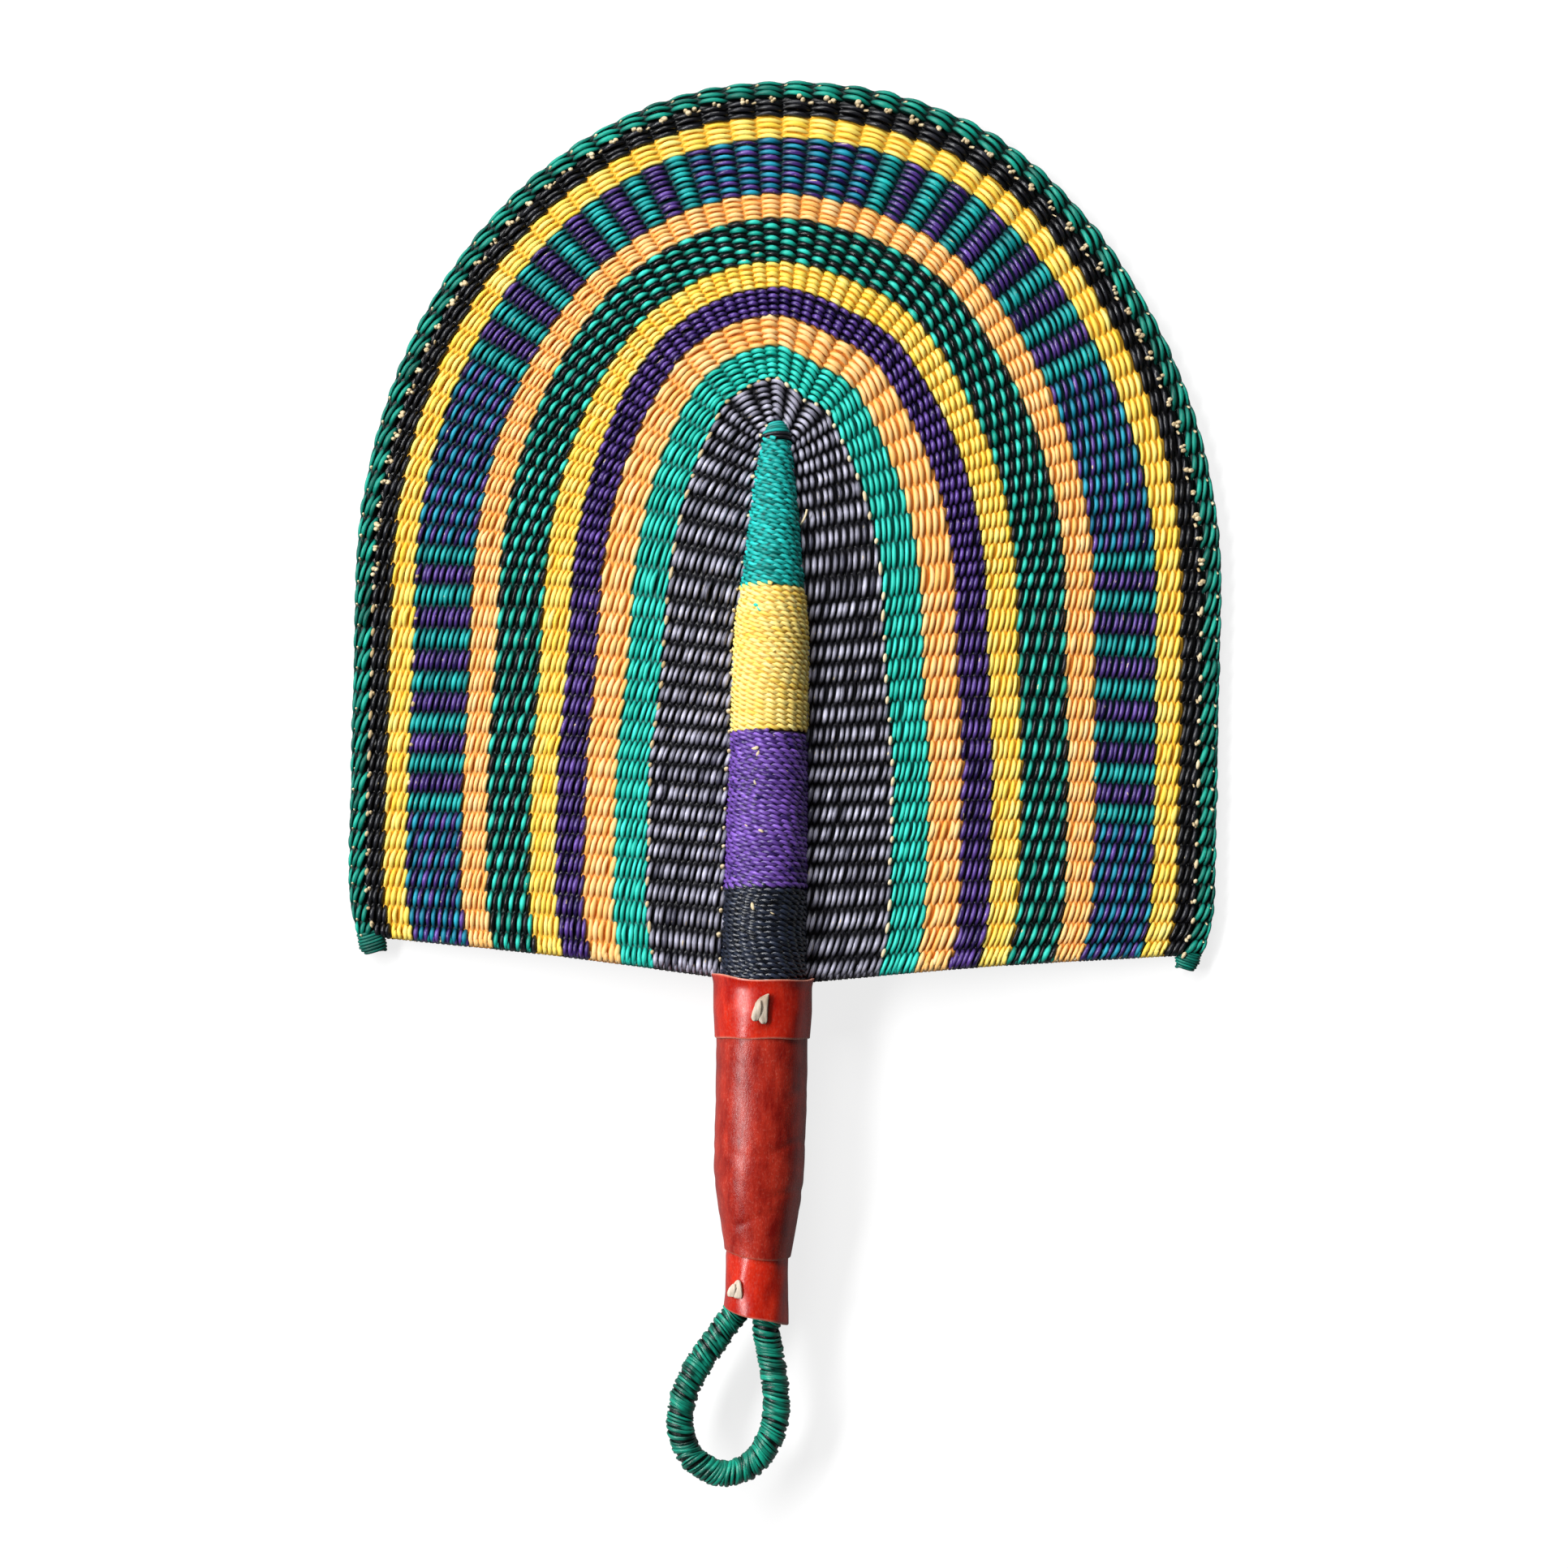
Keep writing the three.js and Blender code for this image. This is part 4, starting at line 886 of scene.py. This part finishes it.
def cut_ends(tubes, places, depth, lean, lift, radius, length, tone):
    """Short cut ends of grass that stand out of both faces, leaning in depth and along the row."""
    count = len(places)
    places = within_rim(places + dice.normal(0, 0.04, count))
    depth = np.broadcast_to(depth, count)[:, None]
    rib = ribs(within_rim(places[:, None] + lean[1] * CUT_SHARES, 0.02))
    for face, reach in ((1, length), (-1, 0.6 * length)):
        reach = reach * (1 + jitter(0.12, count))
        inner = depth + jitter(0.25, count) + lean[0] * reach * CUT_SHARES
        rise = (1 - 1.6 * lean[1]) * reach * CUT_SHARES
        points = blade(rib, inner, face * (lift + rise + jitter(0.25, count)))
        size = radius * np.clip(1 + jitter(0.25, count), 0.5, 1.4) * CUT_TAPER
        tones = np.clip(tone + jitter(0.2, count), 0, 1)
        # Shade is painted at the root of each end, where it comes out of the weave
        tubes.add(points, RIGHTWARD, size, size * 0.8, tones, cell=4, pit=0.6 * (1 - CUT_SHARES), gaps="none")


# The handle's winding: cord of two plies

CORD_PITCH = 1.74
CORD_SIDES = 6
PLY_OFFSET = 0.58
PLY_RADIUS = 0.6
PLY_WIDTH = 1.16
LAY = 7.2
CORD_STEP = 0.8
BED_RADIUS = 0.75
BED_DEPTH = 0.42
# Turns rise at the front of the handle, less so at its foot and tip
FRONT_RISE = 1.2
RISE_LEVELS = [WINDING_FOOT, 30, 172, TIP_FOOT]
RISE_SHARES = [0, 1, 1, 0]


def make_winding(name, top, foot, grass, slot, bits):
    """One colour of the winding.

    bits are strands caught in it: where across and along, length, width, lean and which grass.
    """
    turns = (top - foot) / CORD_PITCH
    girth = 2 * math.pi * winding_radius((top + foot) / 2)
    steps = int(turns * girth / CORD_STEP)
    turn = np.linspace(0, turns, steps)
    level = top - CORD_PITCH * turn + smooth_noise(steps, int(turns * 3), 0.1)
    radius = winding_radius(level) - CORD_PITCH / 2 + smooth_noise(steps, int(turns * 4), 0.07)
    angle = 2 * math.pi * turn + math.pi / 2
    level = level + FRONT_RISE * np.interp(level, RISE_LEVELS, RISE_SHARES) * np.sin(angle)
    centre = vectors(radius * np.cos(angle), level, radius * np.sin(angle))
    outward = vectors(np.cos(angle), 0, np.sin(angle))
    along = lengths_along(centre)
    tubes = Tubes(name, CORD_SIDES)
    for ply in range(2):
        twist = 2 * math.pi * along / LAY + math.pi * ply
        offset = outward * np.cos(twist)[:, None] + CROWNWARD * np.sin(twist)[:, None]
        tone = np.repeat(random_tone(0.5, 0.22, steps // 4 + 1), 4)[:steps]
        size = PLY_RADIUS * (1 + smooth_noise(steps, int(turns * 12), 0.06))
        # Shade is painted where a ply turns under the other, and on the inner side of each ply
        pit = 0.8 * (0.5 - 0.5 * np.cos(twist)) ** 1.5
        tubes.add((centre + PLY_OFFSET * offset)[None], outward[None], size, size * PLY_WIDTH, tone, cell=8,
                  pit=pit, gaps="inner")
    # A dark bed under the cord, painted mostly in gap shade, shows between its turns
    under = slice(np.argmin(np.abs(turn - 0.5)), -1, 2)
    bed = centre[under] - BED_DEPTH * outward[under] + CROWNWARD * CORD_PITCH / 2
    tubes.add(bed[None], outward[None, under], BED_RADIUS, BED_RADIUS, FILLER_TONE, cell=8, pit=0.7,
              gaps="none")
    share = np.linspace(-0.5, 0.5, 7)
    arch = np.sqrt(1 - 3.6 * share ** 2)
    for x, y, length, width, lean, kind in bits:
        across = x + length * share * math.cos(lean)
        level = y + length * share * math.sin(lean)
        out = np.sqrt(winding_radius(level) ** 2 - across ** 2) - 0.45 + 0.35 * arch
        path = vectors(across, level, out)
        beside = np.array([-math.sin(lean), math.cos(lean), 0])
        tubes.add(path[None], beside, arch * width / 2, 0.4 * arch, 0.7, kind, gaps="none")
    tubes.build([grass, "cream", "teal"], "fan", slot, name.replace("_cord", ""))


# Windings: top, foot, grass, slot and the strands caught in each
WINDINGS = [
    ("teal_winding_cord", TIP_FOOT, YELLOW_TOP, "sea", "teal_grass", []),
    ("yellow_winding_cord", YELLOW_TOP, PURPLE_TOP, "straw", "yellow_grass", [
        (-5.2, 128.0, 2.6, 1.3, 0.2, 2), (-4.4, 126.6, 2.0, 1.0, -0.9, 2), (1.5, 112.6, 2.2, 0.9, 0.5, 0)]),
    ("purple_winding_cord", PURPLE_TOP, BLACK_TOP, "violet", "purple_grass", [
        (-4.6, 79.0, 2.6, 1.5, 0.25, 1), (-3.6, 77.2, 2.2, 1.3, 1.3, 1), (-4.4, 67.4, 1.9, 1.0, -1.1, 1),
        (-2.0, 51.0, 2.2, 1.1, -0.5, 1), (-7.0, 52.6, 1.6, 0.6, -0.6, 1)]),
    ("black_winding_cord", BLACK_TOP, WINDING_FOOT, "navy", "black_grass", [
        (-4.2, 25.2, 2.8, 1.4, -1.3, 1), (2.6, 23.0, 1.5, 0.5, -0.4, 1)]),
]

# Cords over the tip: level, half width, reach to the front, and 1 where the grass is black
TIP_WRAPS = [
    (185.6, 5.2, 5.0, 1), (186.8, 5.4, 4.7, 1), (188.0, 4.3, 4.4, 0),
    (188.9, 4.0, 4.0, 0), (189.8, 3.7, 3.4, 0), (190.6, 3.0, 2.6, 0),
]


def make_tip():
    """Cords laid over the end of the handle, which close its winding."""
    tubes = Tubes("tip_wraps", STRAND_SIDES)
    share = np.linspace(0, math.pi, 15)
    arch = np.sin(share)
    for level, half, front, grass in TIP_WRAPS:
        for face in (1, -1):
            rise = level + 1.3 * arch - 1.0 + 0.5 * np.cos(share)
            path = vectors(half * np.cos(share), rise, face * (front * arch ** 0.8) - 0.8)
            tubes.add(path[None], CROWNWARD, 0.62, 0.55, dice.uniform(0.0, 0.6), grass, cell=7)
    tubes.build(["sea", "black"], "fan", "teal_grass", "tip_knot")


# Leather

AROUND = 144
EDGE_ROUNDING = 0.3
NEAR_EDGE_WEAR = 0.35
# Creases of the sleeve: level, lean, spread and depth
CREASES = [
    (-58.0, 0.35, 1.3, 0.26), (-71.0, -0.3, 1.6, 0.3), (-40.0, 0.2, 1.8, 0.16), (-81.0, 0.5, 1.2, 0.24),
]


def leather_tube(name, levels, outer, wall, top_edge, bottom_edge, dents, material, slot, node):
    """A leather tube: outside radius at each level, wall, wavy edges and dents, as one closed shell."""
    angle = 2 * math.pi * np.arange(AROUND) / AROUND
    rows = len(levels)
    total = 2 * rows
    share = ((levels - levels[-1]) / (levels[0] - levels[-1]))[:, None]
    y = levels[:, None] + share ** 3 * top_edge(angle) + (1 - share) ** 3 * bottom_edge(angle)
    radius = outer[:, None] + dents(angle[None, :], levels[:, None])
    rounding = np.zeros((rows, 1))
    rounding[[0, -1]] = EDGE_ROUNDING
    outside, inside = [vectors(r * np.sin(angle), y, r * np.cos(angle)) for r in (
        radius - rounding, radius - np.broadcast_to(wall, rows)[:, None])]
    verts = np.concatenate([outside, inside[::-1]]).reshape(-1, 3)
    row, k = np.meshgrid(np.arange(total), np.arange(AROUND), indexing="ij")
    after = (k + 1) % AROUND
    here = row * AROUND
    below = (row + 1) % total * AROUND
    faces = np.stack([here + k, below + k, below + after, here + after], -1)
    mesh = bpy.data.meshes.new(name)
    mesh.from_pydata(placed(verts).tolist(), [], faces.reshape(-1, 4).tolist())
    mesh.shade_smooth()
    worn = np.zeros((total, AROUND))
    worn[[0, rows - 1, rows, total - 1]] = 1.0
    worn[[1, rows - 2]] = NEAR_EDGE_WEAR
    add_attribute(mesh, "worn", worn)
    finish_piece(new_piece(name, mesh, [material]), "fan", slot, node)


def edge_levels(top, bottom, count):
    """Levels from top to bottom, closer at the edges."""
    middle = np.linspace(top - 0.8, bottom + 0.8, count)
    return np.concatenate([[top, top - 0.25], middle, [bottom + 0.25, bottom]])


def rising(levels, foot, length):
    """0 up to a foot, and from there up to 1 over a length."""
    return np.clip((levels - foot) / length, 0, 1)


def straight(angle):
    return 0 * angle


def collar_top_edge(a):
    notch = np.maximum(0, np.sin(a)) ** 5
    return 0.5 * np.cos(2 * a + 2.6) - 0.45 * np.cos(a) + 0.25 * np.sin(5 * a) - 1.2 * notch


def collar_dents(a, y):
    return 0.16 * np.sin(3 * a + 0.4 + y * 0.08) + 0.1 * np.sin(7 * a - 0.21 * y)


def sleeve_dents(a, y):
    total = 0.14 * np.sin(2 * a + 0.05 * y) + 0.1 * np.sin(5 * a - 0.13 * y + 1.0)
    total = total + 0.05 * np.sin(4 * a + 0.62 * y + 2 * np.sin(a + 0.2 * y))
    for place, lean, spread, depth in CREASES:
        away = y - place - 6 * lean * np.sin(a) - 1.5 * np.sin(3 * a + place)
        total = total - depth * np.exp(-((away / spread) ** 2)) * (0.6 + 0.4 * np.cos(2 * a + place))
    return total


def make_leather():
    levels = edge_levels(COLLAR_TOP, COLLAR_BOTTOM, 26)
    flare = 0.9 * rising(levels, COLLAR_TOP - 4, 4) ** 1.6
    drawn_in = 0.65 * rising(-levels, -COLLAR_BOTTOM - 9, 9)
    leather_tube(
        "upper_collar_leather", levels, COLLAR_OUTER - 0.35 + flare - drawn_in, 1.2 - drawn_in,
        collar_top_edge, lambda a: 0.3 * np.sin(2 * a + 1.0) + 0.15 * np.sin(6 * a),
        collar_dents, COLLAR_LEATHER, "collar_leather", "upper_collar")

    levels = edge_levels(SLEEVE_TOP, SLEEVE_BOTTOM, 100)
    taper = rising(-levels, -SLEEVE_BOTTOM - SLEEVE_TAPER, SLEEVE_TAPER)
    outer = SLEEVE_RADIUS + (SLEEVE_MOUTH - SLEEVE_RADIUS) * taper ** 1.5
    leather_tube(
        "sleeve_leather", levels, outer + 0.45 * taper ** 6, SLEEVE_WALL - 0.8 * taper,
        straight, lambda a: 1.0 - 1.5 * np.cos(a) - 1.2 * np.sin(a),
        sleeve_dents, SLEEVE_LEATHER, "sleeve_leather", "leather_sleeve")

    levels = edge_levels(SLEEVE_BOTTOM + 5.5, MOUTH_LEVEL, 30)
    flare = rising(-levels, -MOUTH_LEVEL - 7, 7)
    under = rising(levels, SLEEVE_BOTTOM, 3)
    outer = LOWER_COLLAR_RADIUS - 0.15 + (MOUTH_RADIUS - LOWER_COLLAR_RADIUS) * flare - 0.6 * under
    leather_tube(
        "lower_collar_leather", levels, outer, 1.3,
        straight, lambda a: -2.6 * np.sin(a) + 0.3 * np.sin(3 * a),
        lambda a, y: 0.12 * np.sin(3 * a + 0.2 * y) + 0.08 * np.sin(8 * a - 0.3 * y),
        COLLAR_LEATHER, "collar_leather", "lower_collar")


LACE_STEPS = 14
LACE_COLUMNS = 8
LACE_THICKNESS = 0.9
# Leaves of each lace: levels from foot to point, left and right edge at each, and how high it lies
UPPER_LEAVES = [
    ((-5.2, -4.4, -3.1, -0.9, 1.8, 4.1, 5.2), (0.7, 0.0, -0.9, -1.9, -1.9, 0.0, 2.6),
     (2.0, 2.7, 2.7, 2.7, 2.8, 3.0, 3.1), 0.1),
    ((-4.3, -3.4, -1.5, 1.0, 3.0), (-2.0, -2.9, -2.6, -1.8, -0.5), (-1.0, 0.0, 0.5, 0.7, 0.3), 0.9),
]
LOWER_LEAVES = [
    ((-3.2, -2.0, 0.5, 2.4, 3.2), (-0.4, -1.0, -1.2, -0.6, 0.6), (2.4, 2.8, 2.6, 2.2, 1.4), 0.1),
    ((-2.8, -1.6, 0.4, 1.8), (-2.6, -2.8, -2.0, -0.8), (-0.4, 0.4, 0.9, 0.5), 0.9),
]


def make_lace(name, node, level, radius, turn, leaves):
    """A rawhide lace: leaves of stiff hide folded over each other, standing on the collar."""
    verts, faces = [], []
    u = np.linspace(0, 1, LACE_STEPS)[:, None]
    v = np.linspace(0, 1, LACE_COLUMNS)
    grid = np.arange(LACE_STEPS * LACE_COLUMNS).reshape(LACE_STEPS, LACE_COLUMNS)
    ring = np.concatenate([grid[0], grid[1:, -1], grid[-1, -2::-1], grid[-2:0:-1, 0]]).tolist()
    for rises, lefts, rights, height in leaves:
        rise = rises[0] + (rises[-1] - rises[0]) * u
        left = np.interp(rise, rises, lefts)
        right = np.interp(rise, rises, rights)
        angle = math.radians(turn) + (left + (right - left) * v) / radius
        z = height + 0.7 * np.sin(math.pi * u) * 4 * v * (1 - v) + 0.3 * np.sin(5 * v + 4 * u)
        base = len(verts)
        for lift in (0.0, -LACE_THICKNESS):
            out = radius + z + lift
            sheet = vectors(out * np.sin(angle), level + rise, out * np.cos(angle))
            verts.extend(sheet.reshape(-1, 3).tolist())
        for a in (base + grid[:-1, :-1]).reshape(-1).tolist():
            b = a + grid.size
            faces.append((a, a + 1, a + LACE_COLUMNS + 1, a + LACE_COLUMNS))
            faces.append((b, b + LACE_COLUMNS, b + LACE_COLUMNS + 1, b + 1))
        for a, b in zip(ring, ring[1:] + ring[:1]):
            faces.append((base + b, base + a, base + a + grid.size, base + b + grid.size))
    mesh = bpy.data.meshes.new(name)
    mesh.from_pydata(placed(np.array(verts)).tolist(), [], faces)
    mesh.shade_smooth()
    piece = new_piece(name, mesh, [RAWHIDE])
    soften = piece.modifiers.new("soften", "SUBSURF")
    soften.levels = 1
    soften.render_levels = 1
    finish_piece(piece, "fan", "rawhide", node)


# The hanging loop: its centre line between its tucked ends, from the middle of the lower collar's mouth

LOOP_POINTS = [
    (-5.2, 4), (-7.6, 0), (-10.7, -4.2), (-13.5, -8.4), (-19.2, -16.9), (-23.1, -25.3), (-25.1, -33.8),
    (-24.4, -42.1), (-19.6, -50.3), (-9.6, -54.5), (0.3, -50.2), (6, -41.4), (7.6, -33), (7.3, -24.7),
    (5.7, -16.3), (3.7, -5.5), (3.6, 0), (4.2, 4),
]
LOOP_TURNS = 124
LOOP_TURN_STEPS = 16
LOOP_TUCK = 4.0
LOOP_SLIDE = 1.7
LOOP_BED_RADIUS = 3.95
LOOP_CORE_RADIUS = 3.4
LOOP_CORE_TIP = 4.6
LOOP_CORE_SIDES = 10
CURVE_STEPS = 40


def curve_through(points, count):
    """Even points on a smooth curve through given points, and its length."""
    points = np.asarray(points, float)
    ends = np.concatenate([[2 * points[0] - points[1]], points, [2 * points[-1] - points[-2]]])
    t = np.linspace(0, 1, CURVE_STEPS, endpoint=False)[:, None]
    fine = []
    for p0, p1, p2, p3 in zip(ends, ends[1:], ends[2:], ends[3:]):
        fine.append(0.5 * (2 * p1 + (p2 - p0) * t + (2 * p0 - 5 * p1 + 4 * p2 - p3) * t ** 2
                           + (3 * p1 - p0 - 3 * p2 + p3) * t ** 3))
    fine = np.concatenate([*fine, points[-1:]])
    lengths = lengths_along(fine)
    even = np.linspace(0, lengths[-1], count)
    return np.stack([np.interp(even, lengths, axis) for axis in fine.T], -1), lengths[-1]


def make_loop():
    points = [(x, MOUTH_LEVEL + y, 0) for x, y in LOOP_POINTS]
    steps = LOOP_TURNS * LOOP_TURN_STEPS + 1
    centre, length = curve_through(points, steps)
    run = unit(np.gradient(centre, axis=0))
    across = vectors(-run[:, 1], run[:, 0], 0)
    angle = 2 * math.pi * np.arange(steps) / LOOP_TURN_STEPS
    above = np.clip(centre[:, 1] - MOUTH_LEVEL, 0, LOOP_TUCK)
    size = np.sqrt(np.maximum(LOOP_RADIUS ** 2 - above ** 2, 1.0)) / LOOP_RADIUS
    radius = (LOOP_RADIUS - 0.5 + smooth_noise(steps, LOOP_TURNS * 2, 0.2)) * size
    slide = LOOP_SLIDE * np.cos(angle + smooth_noise(steps, LOOP_TURNS // 3, 0.6))
    slide = slide + smooth_noise(steps, LOOP_TURNS * 2, 0.34)
    outward = across * np.cos(angle)[:, None] + UPWARD * np.sin(angle)[:, None]
    path = centre + outward * radius[:, None] + run * slide[:, None]
    tubes = Tubes("loop_winding_grass", STRAND_SIDES)
    tone = np.repeat(random_tone(0.5, 0.34, LOOP_TURNS * 4 + 1), LOOP_TURN_STEPS // 4)[:steps]
    wide = length / LOOP_TURNS * 0.6 * (1 + smooth_noise(steps, LOOP_TURNS, 0.2))
    tubes.add(path[None], run[None], wide, 0.5, tone, cell=LOOP_TURN_STEPS)
    # A dark bed under the turns, painted all in gap shade
    under = slice(None, None, LOOP_TURN_STEPS // 2)
    bed = LOOP_BED_RADIUS * size[under]
    tubes.add(centre[None, under], UPWARD, bed, bed, FILLER_TONE, cell=4, pit=1.0)
    tubes.build(["loop"], "hang_loop", "green_grass", "loop_winding")
    core = Tubes("loop_core_grass", LOOP_CORE_SIDES)
    core_path, _ = curve_through(points, 60)
    tucked = np.clip(core_path[:, 1] - MOUTH_LEVEL, 0, LOOP_TUCK) / LOOP_CORE_TIP
    core_radius = LOOP_CORE_RADIUS * np.sqrt(np.maximum(1 - tucked ** 2, 0.05))
    core.add(core_path[None], UPWARD, core_radius, core_radius, 0.4, cell=10)
    core.build(["cream"], "hang_loop", "cream_grass", "loop_core")


# Camera, floor and light

PHOTO_PIXELS = 1932
MM_PER_PIXEL = 0.28
PHOTO_CENTRE = (5.48, 67.06)
# Level at which the photograph has that scale
SCALE_LEVEL = -8.0
HANDLE_LEAN = math.radians(1.3)
LENS = 100.0
SENSOR = 36.0
VIEW_END = 20
FLOOR_SIZE = 12
FLOOR_LEVEL = -0.0004
FLOOR_GREY = (0.24, 0.24, 0.24, 1)
FLOOR_GLOW = 0.8
GLOSSY_SHARE = 0.15
WHITE = (1, 1, 1, 1)
WORLD_LIGHT = 0.07
LAMP_AIM = np.array([0.0, 0.08, 0.0])
# Lamps: place in metres, length, width and watts
LAMPS = {"key": ((-5.2, 1.6, 5.0), 7.0, 1.2, 780), "top": ((-1.2, 6.0, 3.9), 2.5, 2.5, 270)}


def make_camera():
    camera = new_object("camera", bpy.data.cameras.new("camera"))
    camera.data.lens = LENS
    camera.data.sensor_width = SENSOR
    camera.data.clip_end = VIEW_END
    distance = PHOTO_PIXELS * MM_PER_PIXEL * LENS / SENSOR
    camera.location = placed((*PHOTO_CENTRE, distance + SCALE_LEVEL))
    camera.rotation_euler = (0, 0, HANDLE_LEAN)
    bpy.context.scene.camera = camera


def make_floor():
    n = Nodes(bpy.data.materials.new("floor"))
    n.shade("Base Color", FLOOR_GREY)
    n.shade("Roughness", 0.9)
    n.shade("Specular IOR Level", 0.0)
    rays = n.add("ShaderNodeLightPath").outputs
    seen = n.math("ADD", rays["Is Camera Ray"], n.math("MULTIPLY", rays["Is Glossy Ray"], GLOSSY_SHARE))
    n.shade("Emission Color", WHITE)
    n.shade("Emission Strength", n.math("MULTIPLY", seen, FLOOR_GLOW))
    bpy.ops.mesh.primitive_plane_add(size=FLOOR_SIZE, location=(0, 0, FLOOR_LEVEL))
    floor = bpy.context.object
    floor.name = "floor"
    floor.data.materials.append(n.owner)


def make_lights():
    for name, (place, length, width, watts) in LAMPS.items():
        lamp = new_object(name, bpy.data.lights.new(name, "AREA"))
        lamp.data.shape = "RECTANGLE"
        lamp.data.size = length
        lamp.data.size_y = width
        lamp.data.energy = watts
        lamp.location = place
        lamp.rotation_euler = Vector(LAMP_AIM - place).to_track_quat("-Z", "Y").to_euler()
    n = Nodes(bpy.data.worlds.new("studio"), "Background")
    seen = n.add("ShaderNodeLightPath").outputs["Is Camera Ray"]
    n.shade("Color", WHITE)
    n.shade("Strength", n.ramp(seen, 0.0, 1.0, WORLD_LIGHT))
    bpy.context.scene.world = n.owner


bpy.context.scene.view_settings.view_transform = "Standard"
make_camera()
make_floor()
make_lights()
woven = make_bands()
make_field(woven)
make_rim()
make_stakes(woven)
for winding in WINDINGS:
    make_winding(*winding)
make_tip()
make_leather()
make_lace("upper_lace_hide", "upper_lace", -9.3, COLLAR_OUTER + 0.9, -3, UPPER_LEAVES)
make_lace("lower_lace_hide", "lower_lace", MOUTH_LEVEL + 10, LOWER_COLLAR_RADIUS + 0.8, -38, LOWER_LEAVES)
make_loop()
